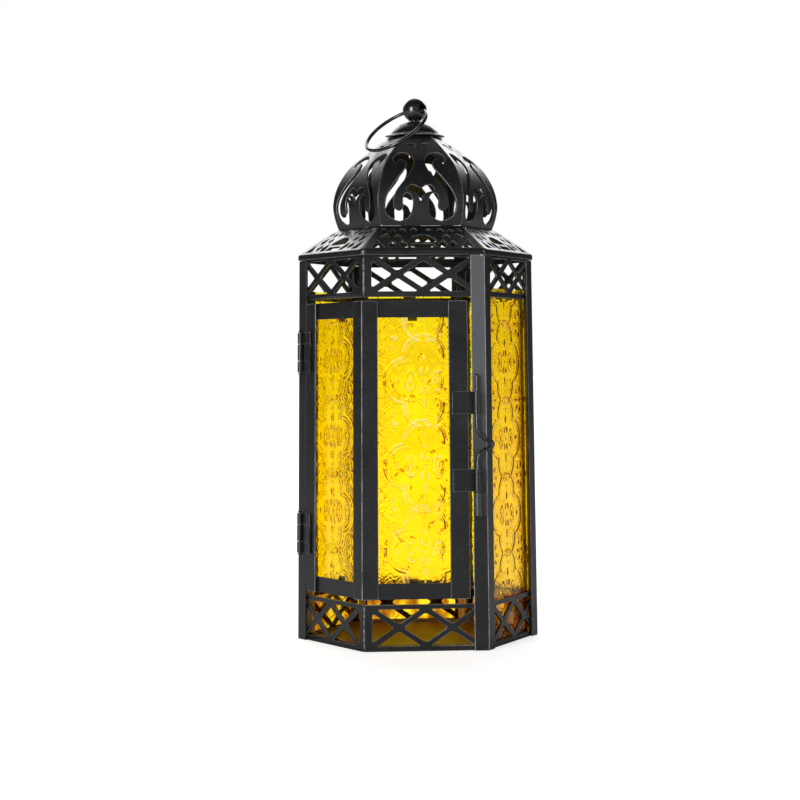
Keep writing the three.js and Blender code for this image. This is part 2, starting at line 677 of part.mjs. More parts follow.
// The gore's bent strip, as wide as the dome, from its outer curve and the same curve one sheet in.
function goreStrip() {
  const outer = domeCurve.getPoints(DOME_STEPS);
  const inner = outer.map((point, i) => {
    const tangent = domeCurve.getTangent(i / DOME_STEPS);
    return [point.x - tangent.y * SHEET, point.y + tangent.x * SHEET];
  });
  inner[0][1] = DOME_BASE_Z;
  inner[DOME_STEPS][1] = outer[DOME_STEPS].y;
  const section = polygon([
    ...outer.map((point) => [-point.x, point.y]),
    ...inner.reverse().map(([a, z]) => [-a, z]),
  ]);
  return sidewaysExtrusion(section, 2 * CORNER_RADIUS);
}

// The wedge between the two seams of the front gore, each half a gap clear of its seam.
function goreWedge() {
  const reach = CORNER_RADIUS;
  const back = GAP / 2 / Math.sin(30 * DEGREE);
  const side = (reach - back) * TAN30;
  return column(polygon([[0, -back], [-side, -reach], [side, -reach]]), DOME_BASE_Z - 1, CAP_Z);
}

// Openings on the gore's right half, as seen from the front: distance from the middle, height.
const HOOK = [
  [3.7, 201.6], [4.0, 205.6], [6.2, 207.9], [7.9, 206.4], [8.2, 203.6], [8.1, 201.0], [9.8, 199.4],
  [12.2, 200.9], [12.6, 204.4], [11.5, 208.2], [9.0, 211.8], [6.0, 215.4], [4.0, 218.4], [2.6, 221.8],
  [2.7, 224.4], [4.7, 226.6], [7.9, 227.3], [10.7, 226.3], [12.0, 223.9], [10.8, 221.6],
  [9.6, 223.4], [7.4, 223.8], [6.0, 222.2], [6.5, 220.0], [8.4, 217.2], [12.4, 212.0],
  [15.6, 206.6], [16.5, 201.6], [15.3, 197.6], [12.1, 195.4], [8.8, 195.0], [5.0, 197.2],
];
const COMMA = [[1.3, 229.2], [2.2, 230.9], [5.0, 231.9], [3.0, 232.3], [1.2, 231.3]];
const MOUSTACHE = [
  [0, 203.9], [1.2, 206.6], [3.2, 208.0], [6.5, 209.0],
  [5.0, 211.2], [2.6, 211.4], [1.0, 210.4], [0, 210.1],
];

// A smooth closed outline through a few points.
function smoothOutline(points, divisions) {
  const knots = points.map(([x, z]) => new THREE.Vector3(x, z, 0));
  const curve = new THREE.CatmullRomCurve3(knots, true);
  return curve.getPoints(divisions).slice(0, -1).map((p) => [p.x, p.y]);
}

function goreCutters() {
  const mirror = (points) => points.map(([x, z]) => [-x, z]).reverse();
  const hook = smoothOutline(HOOK, 38);
  const comma = smoothOutline(COMMA, 8);
  const moustache = [...MOUSTACHE, ...mirror(MOUSTACHE.slice(1, -1))];
  return [hook, mirror(hook), comma, mirror(comma), moustache].map((points) =>
    column(polygon(points), 0, CORNER_RADIUS).rotateX(90 * DEGREE));
}

const gore = cut(keepInside(goreStrip(), goreWedge()), ...goreCutters());

WALLS.forEach((wall, i) => place(`dome_gore_${wall}`, gore.clone(), BLACK_PAINT, i * FACE_TURN));

// ---------------------------------------------------------------- crown, cap and finial

// A hexagonal plate with the stem's hole in it.
function drilledHexagon(radius, bottom, thickness) {
  const shape = hexagon(radius);
  shape.holes.push(new THREE.Path().absarc(0, 0, STEM_HOLE, 0, 2 * Math.PI));
  return column(shape, bottom, bottom + thickness, 10);
}

const crownPlate = drilledHexagon(CROWN_PLATE.radius, CROWN_PLATE.bottom, SHEET);
place('dome_crown_plate', crownPlate, BLACK_PAINT);
place('finial_nut', drilledHexagon(NUT.radius, NUT.bottom, NUT.height), BARE_STEEL);

// The pressed round crown of the cap, as a solid of revolution.
function capCrown(radius, bottom, top, segments) {
  const rise = top - CAP_CREASE_Z;
  const curve = CAP_CROWN_CURVE.map(([across, up]) => [radius * across, CAP_CREASE_Z + rise * up]);
  return turned([[0, bottom], [radius, bottom], ...curve], segments);
}

function cap() {
  const shell = SHEET * 0.9;
  const brimTop = CAP_CROWN_RADIUS + 0.8;
  const outside = join(
    column(hexagon(CAP_BRIM_RADIUS), CAP_Z, CAP_Z + 0.7),
    hexFrustum(CAP_BRIM_RADIUS, brimTop, CAP_Z + 0.6, CAP_CREASE_Z),
    capCrown(CAP_CROWN_RADIUS, CAP_CREASE_Z - 1, CAP_TOP_Z, 20),
  );
  return cut(
    outside,
    hexFrustum(CAP_BRIM_RADIUS - 1, brimTop - 1.6, CAP_Z - 0.4, CAP_CREASE_Z - 0.8),
    capCrown(CAP_CROWN_RADIUS - shell, CAP_CREASE_Z - 1.5, CAP_TOP_Z - shell, 20),
    rod(STEM_HOLE, CAP_Z, CAP_TOP_Z + 1, 16),
  );
}

place('dome_cap', cap(), BLACK_PAINT);

// The finial is a ball on a threaded stem, drilled across for the carrying ring.
const heading = RING_HEADING * DEGREE;
const ringHeading = new THREE.Vector3(Math.cos(heading), Math.sin(heading), 0);
const holeAxis = new THREE.Vector3(-ringHeading.y, ringHeading.x, 0);

function finial() {
  const neckTop = BALL_Z - Math.sqrt(BALL_RADIUS ** 2 - NECK_RADIUS ** 2);
  const startAngle = Math.asin(NECK_RADIUS / BALL_RADIUS);
  const steps = 8;
  const ball = Array.from({ length: steps + 1 }, (_, i) => {
    const angle = startAngle + (Math.PI - startAngle) * (i / steps);
    return [BALL_RADIUS * Math.sin(angle), BALL_Z - BALL_RADIUS * Math.cos(angle)];
  });
  ball[steps][0] = 0;
  const body = turned([
    [0, STEM_BOTTOM], [STEM_RADIUS, STEM_BOTTOM], [STEM_RADIUS, CAP_TOP_Z + GAP],
    [NECK_RADIUS, CAP_TOP_Z + GAP], [NECK_RADIUS, neckTop - 0.05], ...ball,
  ], 20);
  const across = new THREE.Quaternion().setFromUnitVectors(new THREE.Vector3(0, 0, 1), holeAxis);
  const hole = rod(BALL_HOLE_RADIUS, -2 * BALL_RADIUS, 2 * BALL_RADIUS, 12).applyQuaternion(across);
  return cut(body, hole.translate(0, 0, BALL_Z));
}

place('finial_ball', finial(), WIRE_PAINT);

// The ring's centre hangs from the ball towards its heading; its plane holds the hole's axis.
function carryRing() {
  const down = ringHeading.clone().applyAxisAngle(holeAxis, RING_DROOP * DEGREE);
  const normal = new THREE.Vector3().crossVectors(holeAxis, down);
  const centre = down.clone().multiplyScalar(RING_RADIUS);
  const geometry = new THREE.TorusGeometry(RING_RADIUS, RING_WIRE, 8, 40);
  geometry.applyMatrix4(new THREE.Matrix4().makeBasis(holeAxis, down, normal));
  return geometry.translate(centre.x, centre.y, BALL_Z + centre.z);
}

place('carry_ring', carryRing(), WIRE_PAINT);

export default lantern;
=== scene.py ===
"""Looks of the hexagonal pierced metal lantern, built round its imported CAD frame."""
import math

import bpy
import numpy as np
from mathutils import Matrix, Vector


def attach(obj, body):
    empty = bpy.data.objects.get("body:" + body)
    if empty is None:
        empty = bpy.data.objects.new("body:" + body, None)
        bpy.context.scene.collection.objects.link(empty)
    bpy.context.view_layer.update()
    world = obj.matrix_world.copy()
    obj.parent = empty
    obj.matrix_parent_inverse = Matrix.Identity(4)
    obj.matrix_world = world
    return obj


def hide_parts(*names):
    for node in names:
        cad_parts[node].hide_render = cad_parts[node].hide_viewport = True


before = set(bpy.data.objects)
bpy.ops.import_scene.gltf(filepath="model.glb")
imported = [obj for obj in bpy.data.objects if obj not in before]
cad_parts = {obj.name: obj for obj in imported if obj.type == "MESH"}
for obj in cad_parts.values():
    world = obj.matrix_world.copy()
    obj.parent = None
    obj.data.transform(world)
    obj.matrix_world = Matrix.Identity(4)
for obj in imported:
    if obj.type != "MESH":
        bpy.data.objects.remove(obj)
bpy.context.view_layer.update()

# ---- dimensions, in millimetres

MM = 0.001
COS30 = math.cos(math.radians(30))
TAN30 = math.tan(math.radians(30))
CORNER_RADIUS = 57.2
APOTHEM = CORNER_RADIUS * COS30
EAVES_Z = 181.0
EAVES_RADIUS = 55.1
HALF = CORNER_RADIUS / 2
SHEET = 1.0
GAP = 0.3
GLASS = 2.4
LEAN_SLOPE = 0.0100  # what a wall's middle loses in distance from the axis per unit of height

# How far each layer's outer face is outside the wall plane.
PANEL_OUT = -1.3
DOOR_OUT = 0.7
FIXED_GLASS_OUT = -2.6
DOOR_GLASS_OUT = -1.9

WALL_TURN = {"front": 0, "front_right": 60, "back_right": 120, "back": 180, "back_left": 240,
             "front_left": 300}


def lean_scale(z):
    """Scale of the body's plan at a height: 1 at the base, less towards the eaves."""
    return 1 - (1 - EAVES_RADIUS / CORNER_RADIUS) * np.clip(np.asarray(z) / EAVES_Z, None, 1)


def lean(points):
    points = np.array(points, float)
    points[:, :2] *= lean_scale(points[:, 2])[:, None]
    return points


def catmull(knots, steps, closed=False):
    """A uniform Catmull-Rom curve through the knots, `steps` points to a span."""
    knots = np.asarray(knots, float)
    if closed:
        padded = np.vstack([knots[-1:], knots, knots[:2]])
    else:
        padded = np.vstack([2 * knots[0] - knots[1], knots, 2 * knots[-1] - knots[-2]])
    t = np.linspace(0, 1, steps, endpoint=False)[:, None]
    curve = []
    for p0, p1, p2, p3 in zip(padded, padded[1:], padded[2:], padded[3:]):
        curve.append(0.5 * (2 * p1 + (p2 - p0) * t + (2 * p0 - 5 * p1 + 4 * p2 - p3) * t ** 2
                            + (3 * p1 - p0 - 3 * p2 + p3) * t ** 3))
    if not closed:
        curve.append(knots[-1:])
    return np.vstack(curve)


# ---- materials

class Nodes:
    """A short way to write the node tree of a material or a world."""

    def __init__(self, name, kind=bpy.data.materials, shader="Principled BSDF", place="Object"):
        self.block = kind.new(name)
        self.block.use_nodes = True
        self.tree = self.block.node_tree
        self.shader = self.tree.nodes[shader]
        self.place = self.add("ShaderNodeTexCoord").outputs[place]

    def put(self, socket, value):
        """Gives a socket a link, a colour or a plain value."""
        if isinstance(value, bpy.types.NodeSocket):
            self.tree.links.new(value, socket)
        elif isinstance(value, tuple) and socket.type == "RGBA":
            socket.default_value = (*value, 1)
        else:
            socket.default_value = value

    def add(self, kind, inputs=None, **settings):
        """A new node with its settings, and the inputs given by name or number."""
        node = self.tree.nodes.new(kind)
        for key, value in settings.items():
            setattr(node, key, value)
        for key, value in (inputs or {}).items():
            self.put(node.inputs[key], value)
        return node

    def math(self, operation, a, b=0):
        return self.add("ShaderNodeMath", {0: a, 1: b}, operation=operation).outputs["Value"]

    def blend(self, a, b, share):
        """A sum of `a` and `b` in which `share` of the weight is a's."""
        return self.math("ADD", self.math("MULTIPLY", a, share), self.math("MULTIPLY", b, 1 - share))

    def dot(self, source, axis):
        node = self.add("ShaderNodeVectorMath", {0: source, 1: axis}, operation="DOT_PRODUCT")
        return node.outputs["Value"]

    def noise(self, scale, detail=2.0, roughness=0.5, stretch=None):
        place = self.place
        if stretch:
            place = self.add("ShaderNodeMapping", {"Vector": place, "Scale": stretch}).outputs["Vector"]
        return self.add("ShaderNodeTexNoise", {"Vector": place, "Scale": scale, "Detail": detail,
                                               "Roughness": roughness}).outputs["Fac"]

    def height(self):
        return self.add("ShaderNodeSeparateXYZ", {"Vector": self.place}).outputs["Z"]

    def reach(self):
        """Distance out from the axis towards the nearest wall, corrected for the lean."""
        outs = [self.math("ABSOLUTE", self.dot(self.place, (math.sin(turn), math.cos(turn), 0)))
                for turn in map(math.radians, (0, 60, 120))]
        furthest = self.math("MAXIMUM", self.math("MAXIMUM", outs[0], outs[1]), outs[2])
        return self.math("ADD", furthest, self.math("MULTIPLY", self.height(), LEAN_SLOPE))

    def rise(self, source, start, end):
        """0 at `start` to 1 at `end`, held outside them."""
        return self.add("ShaderNodeMapRange", {"Value": source, "From Min": start,
                                               "From Max": end}).outputs["Result"]

    def facing(self, axis):
        """How far the surface faces along an axis, -1 to 1."""
        return self.dot(self.add("ShaderNodeTexCoord").outputs["Normal"], axis)

    def ramp(self, source, *stops):
        """A colour ramp; each stop is (place, value or colour)."""
        node = self.add("ShaderNodeValToRGB", {"Fac": source})
        elements = node.color_ramp.elements
        while len(elements) < len(stops):
            elements.new(0.5)
        for element, (place, value) in zip(elements, stops):
            element.position = place
            element.color = (*value, 1) if isinstance(value, tuple) else (value, value, value, 1)
        return node.outputs["Color"]

    def mix(self, factor, a, b):
        return self.add("ShaderNodeMix", {"Factor": factor, "A": a, "B": b},
                        data_type="RGBA").outputs["Result"]

    def bump(self, height, strength, distance):
        node = self.add("ShaderNodeBump", {"Height": height, "Strength": strength,
                                           "Distance": distance})
        self.put(self.shader.inputs["Normal"], node.outputs["Normal"])

    def set(self, **values):
        """Sets the shader's own sockets."""
        for key, value in values.items():
            self.put(self.shader.inputs[key.replace("_", " ")], value)


def painted_metal(name, dark, light, rough, dust=0.12, ior=1.6, inside=None, pale=None):
    """Baked black paint: slight orange peel, uneven gloss, and a few pale specks of dust.

    `inside` is a painted amber glow on the surfaces behind the walls, standing for the light that
    comes in through the glass, and `pale` a painted sheen: the colour of a front face above the latch.
    """
    n = Nodes(name)
    patches, fine = n.noise(55, 4, 0.6), n.noise(420, 3, 0.6)
    tone = n.ramp(n.blend(patches, fine, 0.65), (0.36, dark), (0.66, light))
    # painted sheen: a face that looks to the front is made lighter above the latch, as if lit
    if pale:
        painted_sheen_above_latch = n.rise(n.math("ADD", n.height(), n.math("MULTIPLY", patches, 0.03)), 0.075, 0.135)
        front = n.rise(n.facing((0, -1, 0)), 0.80, 0.95)
        tone = n.mix(n.math("MULTIPLY", front, painted_sheen_above_latch), tone, pale)
    # painted light: below the upper band and behind the walls the paint takes the amber glow of light
    # through the glass
    if inside:
        below_band, behind_wall = n.rise(n.height(), 0.158, 0.150), n.rise(n.reach(), 0.0484, 0.0480)
        tone = n.mix(n.math("MULTIPLY", below_band, behind_wall), tone, inside)
    specks = n.ramp(n.noise(1500, 1, 0.4), (0.735, 0.0), (0.76, 1.0))
    n.set(Base_Color=n.mix(specks, tone, (dust, dust, dust * 1.02)), IOR=ior,
          Roughness=n.ramp(n.blend(patches, fine, 0.6), (0.35, rough - 0.07), (0.65, rough + 0.09)))
    n.bump(n.noise(900, 3, 0.55), 0.16, 0.0002)
    return n.block


def worn_and_highlighted_edge(name, dark, light, rough=0.35):
    """Paint thinned over a sheared edge, with bare metal starting to show, and lightened as a painted
    highlight where the rounding catches light.
    """
    n = Nodes(name)
    # part wear, part painted highlight: the lighter colour stands for light caught on the rounded edge
    wear_and_highlight = n.blend(n.noise(110, 3, 0.6), n.noise(700, 2, 0.5), 0.6)
    n.set(Base_Color=n.ramp(wear_and_highlight, (0.38, dark), (0.62, light)),
          Roughness=n.ramp(wear_and_highlight, (0.3, rough + 0.1), (0.7, rough)),
          Metallic=n.ramp(wear_and_highlight, (0.4, 0.1), (0.7, 0.35)))
    n.bump(n.noise(1200, 2, 0.5), 0.2, 0.0001)
    return n.block


def amber_glass(name, tint, deep, clear_share=1.0, painted_shade_low=False):
    """Pressed amber glass. Lamps pass through it tinted, so that it lights what is inside.

    With the low painted shade on, a pane is painted brown and streaky behind the lower lattice: painted
    shade.
    """
    n = Nodes(name)
    colour = n.ramp(n.noise(40, 3, 0.55), (0.35, deep), (0.65, tint))
    # painted shade: brown streaks on the low part of the pane, behind the lower lattice
    if painted_shade_low:
        painted_shade_streaks = n.ramp(n.noise(95, 3, 0.6, stretch=(1, 1, 0.6)), (0.40, (0.24, 0.06, 0.002)),
                         (0.48, (0.66, 0.27, 0.006)), (0.55, (1.0, 0.80, 0.02)))
        colour = n.mix(n.rise(n.height(), 0.0242, 0.0215), colour, painted_shade_streaks)
    n.set(Base_Color=colour, Roughness=0.02, IOR=1.4, Transmission_Weight=clear_share)
    n.bump(n.noise(260, 2, 0.5), 0.05, 0.0002)
    clear = n.add("ShaderNodeBsdfTransparent", {"Color": (0.42, 0.16, 0.005)})
    lamp_ray = n.add("ShaderNodeLightPath").outputs["Is Shadow Ray"]
    choose = n.add("ShaderNodeMixShader", {"Fac": lamp_ray, 1: n.shader.outputs["BSDF"],
                                           2: clear.outputs["BSDF"]})
    n.put(n.tree.nodes["Material Output"].inputs["Surface"], choose.outputs["Shader"])
    return n.block


def plated_steel(name):
    n = Nodes(name)
    brushed = n.noise(300, 3, 0.6, stretch=(1, 1, 6))
    n.set(Base_Color=n.ramp(brushed, (0.3, (0.28, 0.29, 0.3)), (0.7, (0.42, 0.43, 0.44))),
          Roughness=n.ramp(brushed, (0.3, 0.28), (0.7, 0.45)), Metallic=0.95)
    n.bump(brushed, 0.15, 0.0001)
    return n.block


def solder(name):
    n = Nodes(name)
    lumps = n.noise(500, 3, 0.6)
    n.set(Base_Color=n.ramp(lumps, (0.35, (0.07, 0.07, 0.075)), (0.68, (0.36, 0.36, 0.36))),
          Roughness=n.ramp(lumps, (0.3, 0.5), (0.7, 0.3)), Metallic=0.6)
    n.bump(lumps, 0.5, 0.0003)
    return n.block


BLACK = (0.006, 0.007, 0.008), (0.014, 0.015, 0.017)
POST_BLACK = (0.008, 0.009, 0.010), (0.018, 0.019, 0.021)
# painted amber glow of the light that comes in through the glass, put on the posts' inner faces
PAINTED_AMBER_GLOW = (0.80, 0.42, 0.10)
PAINT = painted_metal("black_paint", *BLACK, 0.32)
POST = painted_metal("post_paint", *POST_BLACK, 0.33, inside=PAINTED_AMBER_GLOW)
# painted sheen: the front right post's front face is paler above the latch
PALE_POST = painted_metal("post_paint_pale", *POST_BLACK, 0.33, inside=PAINTED_AMBER_GLOW,
                          pale=(0.125, 0.128, 0.138))
# painted light: the keeper is a lighter copy of the post's black paint, shown as lit
KEEPER = painted_metal("post_paint_keeper", (0.040, 0.042, 0.046), (0.075, 0.078, 0.084), 0.34)
# painted light: the base plate's top inside the walls is tinted with the amber glow from the glass
BASE = painted_metal("black_paint_base", *BLACK, 0.45, inside=(0.17, 0.062, 0.004))
WIRE = painted_metal("wire_paint", (0.006, 0.006, 0.007), (0.012, 0.012, 0.014), 0.20, ior=1.8)
# edge materials: worn paint lightened as painted highlights along edges, creases and folds
EDGE = worn_and_highlighted_edge("black_paint_edge", (0.06, 0.062, 0.066), (0.38, 0.38, 0.39), 0.3)
CREASE = worn_and_highlighted_edge("black_paint_crease", (0.26, 0.26, 0.27), (0.60, 0.60, 0.60))
LINE = worn_and_highlighted_edge("black_paint_fold", (0.10, 0.10, 0.105), (0.34, 0.34, 0.34))
FRONT_GLASS = amber_glass("amber_glass_front", (1.0, 0.93, 0.022), (1.0, 0.85, 0.012))
LEFT_GLASS = amber_glass("amber_glass_left", (1.0, 0.84, 0.004), (1.0, 0.77, 0.003))
FIXED_GLASS = amber_glass("amber_glass_fixed", (1.0, 0.83, 0.012), (1.0, 0.74, 0.007), painted_shade_low=True)
# painted dark refraction and painted highlight, put on chosen cells of the relief
PAINTED_DARK_REFRACTION = amber_glass("amber_glass_painted_dark_refraction", (0.46, 0.15, 0.004), (0.24, 0.06, 0.002))
PAINTED_HIGHLIGHT_GLASS = amber_glass("amber_glass_painted_highlight", (1.0, 0.97, 0.80), (1.0, 0.95, 0.60), 0.76)
STEEL = plated_steel("bare_steel")
SOLDER = solder("solder")


# ---- meshes

def new_piece(name, mesh, turn=0):
    piece = bpy.data.objects.new(name, mesh)
    bpy.context.scene.collection.objects.link(piece)
    piece.matrix_world = Matrix.Rotation(math.radians(turn), 4, "Z")
    return piece


def turned(points, turn):
    angle = math.radians(turn)
    spin = np.array([[math.cos(angle), math.sin(angle), 0],
                     [-math.sin(angle), math.cos(angle), 0], [0, 0, 1]])
    return np.asarray(points, float) @ spin


def new_mesh(name, points, faces, materials, slots=None, smooth=None, sharp_angle=None, turn=0):
    """A mesh from points in millimetres. `slots` and `smooth` are given face by face."""
    mesh = bpy.data.meshes.new(name)
    mesh.from_pydata((turned(points, turn) * MM).tolist(), [], faces)
    for material in materials:
        mesh.materials.append(material)
    count = len(mesh.polygons)
    if slots is not None:
        mesh.polygons.foreach_set("material_index", np.asarray(slots, np.int32))
    flags = np.ones(count, bool) if smooth is None else np.asarray(smooth, bool)
    mesh.polygons.foreach_set("use_smooth", flags)
    if sharp_angle is not None:
        mesh.set_sharp_from_angle(angle=math.radians(sharp_angle))
    mesh.update()
    mesh.validate()
    return mesh


def add_piece(name, mesh, body, slot, *nodes, turn=0):
    """A mesh in the scene, riding a body, in place of the CAD nodes named."""
    piece = new_piece(name, mesh, turn)
    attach(piece, body)
    if nodes:
        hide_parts(*nodes)
    return piece


def joined(parts):
    """The points and faces of several (points, faces) as one."""
    points, faces = [], []
    for part_points, part_faces in parts:
        faces += [tuple(v + len(points) for v in face) for face in part_faces]
        points += list(part_points)
    return np.array(points), faces


def weld(piece, distance):
    piece.modifiers.new("weld", "WELD").merge_threshold = distance


def soften(piece, width, segments=2, edge_slot=1, angle=35):
    """Rounds a piece's edges, and gives the rounding the material in `edge_slot`."""
    weld(piece, 1e-5)
    bevel = piece.modifiers.new("bevel", "BEVEL")
    bevel.width = width * MM
    bevel.segments = segments
    bevel.limit_method = "ANGLE"
    bevel.angle_limit = math.radians(angle)
    bevel.material = edge_slot
    bevel.harden_normals = True
    bevel.use_clamp_overlap = True
    return piece


def ring_quads(rows, sides, closed=False):
    """Faces between rings of points one above another, and back to the first if it is closed."""
    return [(row * sides + i, row * sides + (i + 1) % sides,
             (row + 1) % rows * sides + (i + 1) % sides, (row + 1) % rows * sides + i)
            for row in range(rows if closed else rows - 1) for i in range(sides)]


def extrude_plan(outline, bottom, top):
    """A closed plan outline (x, y) drawn upwards, then leaned with the body."""
    count = len(outline)
    points = lean(np.vstack([np.column_stack([outline, np.full(count, z)]) for z in (bottom, top)]))
    ends = [tuple(range(count))[::-1], tuple(range(count, 2 * count))]
    return points, ring_quads(2, count) + ends


def tube(path, radius, sides=20, closed=False):
    """A round wire along a path, with rounded ends unless it is closed."""
    path = np.asarray(path, float)
    if closed:
        tangents = np.roll(path, -1, 0) - np.roll(path, 1, 0)
    else:
        tangents = np.gradient(path, axis=0)
    tangents /= np.linalg.norm(tangents, axis=1)[:, None]
    side = np.cross(tangents[0], (0.31, 0.87, 0.38))
    side /= np.linalg.norm(side)
    stations = []
    for centre, tangent in zip(path, tangents):
        side = side - tangent * side.dot(tangent)
        side /= np.linalg.norm(side)
        stations.append((centre, tangent, side, radius))
    if not closed:
        first, last = stations[0], stations[-1]
        for a in map(math.radians, (22.5, 45, 67.5)):
            for way, (centre, tangent, side, _) in ((-1, first), (1, last)):
                ring = (centre + way * tangent * radius * math.sin(a), tangent, side,
                        radius * math.cos(a))
                stations.insert(0 if way < 0 else len(stations), ring)
    angles = np.arange(sides) * 2 * math.pi / sides
    cos, sin = np.cos(angles)[:, None], np.sin(angles)[:, None]
    points = np.vstack([centre + r * (cos * side + sin * np.cross(tangent, side))
                        for centre, tangent, side, r in stations])
    faces = ring_quads(len(stations), sides, closed)
    if not closed:
        head, tail, end = len(points), len(points) + 1, len(points) - sides
        points = np.vstack([points, path[0] - tangents[0] * radius, path[-1] + tangents[-1] * radius])
        faces += [(head, (i + 1) % sides, i) for i in range(sides)]
        faces += [(tail, end + i, end + (i + 1) % sides) for i in range(sides)]
    return points, faces


def lathe(profile, sides=64, shape=None):
    """A closed profile (radius, z) turned about Z. `shape(angles, radius)` may bend the radius."""
    angles = np.arange(sides) * 2 * math.pi / sides
    points = []
    for radius, z in profile:
        r = np.full(sides, radius) if shape is None else shape(angles, radius)
        points.append(np.column_stack([r * np.cos(angles), r * np.sin(angles), np.full(sides, z)]))
    return np.vstack(points), ring_quads(len(profile), sides, closed=True)


# ---- pierced sheets

def outline_distance(x, y, outline):
    """Signed distance to a closed outline, positive outside it."""
    a = np.asarray(outline, float)
    b = np.roll(a, -1, 0)
    edge = b - a
    px, py = x[:, None] - a[:, 0], y[:, None] - a[:, 1]
    along = np.clip((px * edge[:, 0] + py * edge[:, 1]) / np.maximum((edge ** 2).sum(1), 1e-12), 0, 1)
    gap = np.hypot(px - along * edge[:, 0], py - along * edge[:, 1]).min(1)
    crosses = (a[:, 1] > y[:, None]) != (b[:, 1] > y[:, None])
    with np.errstate(divide="ignore", invalid="ignore"):
        where = a[:, 0] + (y[:, None] - a[:, 1]) * edge[:, 0] / edge[:, 1]
    inside = (crosses & (x[:, None] < where)).sum(1) % 2 == 1
    return np.where(inside, -gap, gap)


def holes_field(outlines, reach=3.0):
    """A function of (x, y): the distance to the nearest hole, negative inside one."""
    def field(x, y):
        value = np.full(x.shape, reach)
        for outline in outlines:
            low, high = outline.min(0) - reach, outline.max(0) + reach
            near = (x > low[0]) & (x < high[0]) & (y > low[1]) & (y < high[1])
            if near.any():
                value[near] = np.minimum(value[near], outline_distance(x[near], y[near], outline))
        return value
    return field


def pierced_sheet(us, ss, half_width, field, place, rim):
    """Faces of a sheet where field(x, s) > 0, with rounded rims.

    us runs -1..1 across, ss along the sheet; x = u * half_width(s). place(x, s, depth) gives the
    point at a depth under the outer face. Returns points, faces, material slots.
    """
    grid_u, grid_s = np.meshgrid(us, ss)
    x, s = (grid_u * half_width(grid_s)).ravel(), grid_s.ravel()
    value = field(x, s) - rim
    columns = len(us)
    keep = value > 0
    flat = list(zip(x, s))
    cuts = {}

    def cut(i, j):
        key = (i, j) if i < j else (j, i)
        if key not in cuts:
            a, b = key
            f = min(max(value[a] / (value[a] - value[b]), 0.02), 0.98)
            cuts[key] = len(flat)
            flat.append((x[a] + (x[b] - x[a]) * f, s[a] + (s[b] - s[a]) * f))
        return cuts[key]

    cells, border = [], []
    for row in range(len(ss) - 1):
        for column in range(columns - 1):
            base = row * columns + column
            corners = (base, base + 1, base + columns + 1, base + columns)
            if not any(keep[c] for c in corners):
                continue
            loop, leaving = [], []
            for k in range(4):
                a, b = corners[k], corners[(k + 1) % 4]
                if keep[a]:
                    loop.append(a)
                if keep[a] != keep[b]:
                    loop.append(cut(a, b))
                    if keep[a]:
                        leaving.append(len(loop) - 1)
            for at in leaving:
                border.append((loop[at], loop[(at + 1) % len(loop)]))
            cells.append(tuple(loop))
    flat = np.array(flat)
    used = np.zeros(len(flat), bool)
    for cell in cells:
        used[list(cell)] = True
    renumber = np.cumsum(used) - 1
    flat = flat[used]
    cells = [tuple(int(renumber[c]) for c in cell) for cell in cells]
    border = [(int(renumber[a]), int(renumber[b])) for a, b in border]

    step = 0.05  # for the slope of the field
    fx, fs = flat[:, 0], flat[:, 1]
    ring = sorted({v for edge in border for v in edge})
    place_of = {v: k for k, v in enumerate(ring)}
    rx, rs = fx[ring], fs[ring]
    gx = field(rx + step, rs) - field(rx - step, rs)
    gs = field(rx, rs + step) - field(rx, rs - step)
    size = np.maximum(np.hypot(gx, gs), 1e-9)
    outer = rx - gx / size * rim, rs - gs / size * rim
    middle = rx - gx / size * rim * 0.7, rs - gs / size * rim * 0.7
    count, around = len(flat), len(ring)
    points = np.vstack([place(fx, fs, 0.0), place(fx, fs, SHEET), place(*middle, rim * 0.3),
                        place(*outer, rim), place(*outer, SHEET - rim),
                        place(*middle, SHEET - rim * 0.3)])
    faces = list(cells) + [tuple(count + c for c in reversed(cell)) for cell in cells]
    slots = [0] * len(faces)
    rows = [lambda v: v] + [lambda v, k=k: 2 * count + k * around + place_of[v] for k in range(4)]
    rows.append(lambda v: count + v)
    for a, b in border:
        for k, (upper, lower) in enumerate(zip(rows, rows[1:])):
            faces.append((upper(b), upper(a), lower(a), lower(b)))
            slots.append(0 if k == 2 else 1)
    return points, faces, slots


# ---- CAD nodes that stay

PLAIN_NODES = dict.fromkeys(
    [f"door_stile_{part}" for part in ("hinge_side", "latch_side", "fold")]
    + [f"{part}_{row}_{side}" for part in ("door_rail", "glass_clip")
       for row in ("top", "bottom") for side in ("left", "right")]
    + [f"{band}_lattice_{wall}" for band in ("lower", "upper") for wall in WALL_TURN]
    + ["dome_crown_plate"], PAINT)
PLAIN_NODES |= {f"corner_post_{side}": POST for side in ("right", "back_right", "back_left", "left")}
PLAIN_NODES |= {"corner_post_front_right": PALE_POST, "base_plate": BASE, "finial_nut": STEEL}

WORN_AND_HIGHLIGHTED_FOLDS = ("door_stile_hinge_side", "door_stile_latch_side", "door_stile_fold",
              "corner_post_right")

for node, material in PLAIN_NODES.items():
    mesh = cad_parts[node].data
    mesh.materials.clear()
    mesh.materials.append(material)
    # the rounded edges take worn paint lightened as a painted highlight, except on the plain posts
    mesh.materials.append(LINE if node in WORN_AND_HIGHLIGHTED_FOLDS else CREASE if material is PALE_POST
                          else POST if material is POST else EDGE)
    soften(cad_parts[node], 0.28 if node in WORN_AND_HIGHLIGHTED_FOLDS else 0.24)


# ---- solder on the front left corner

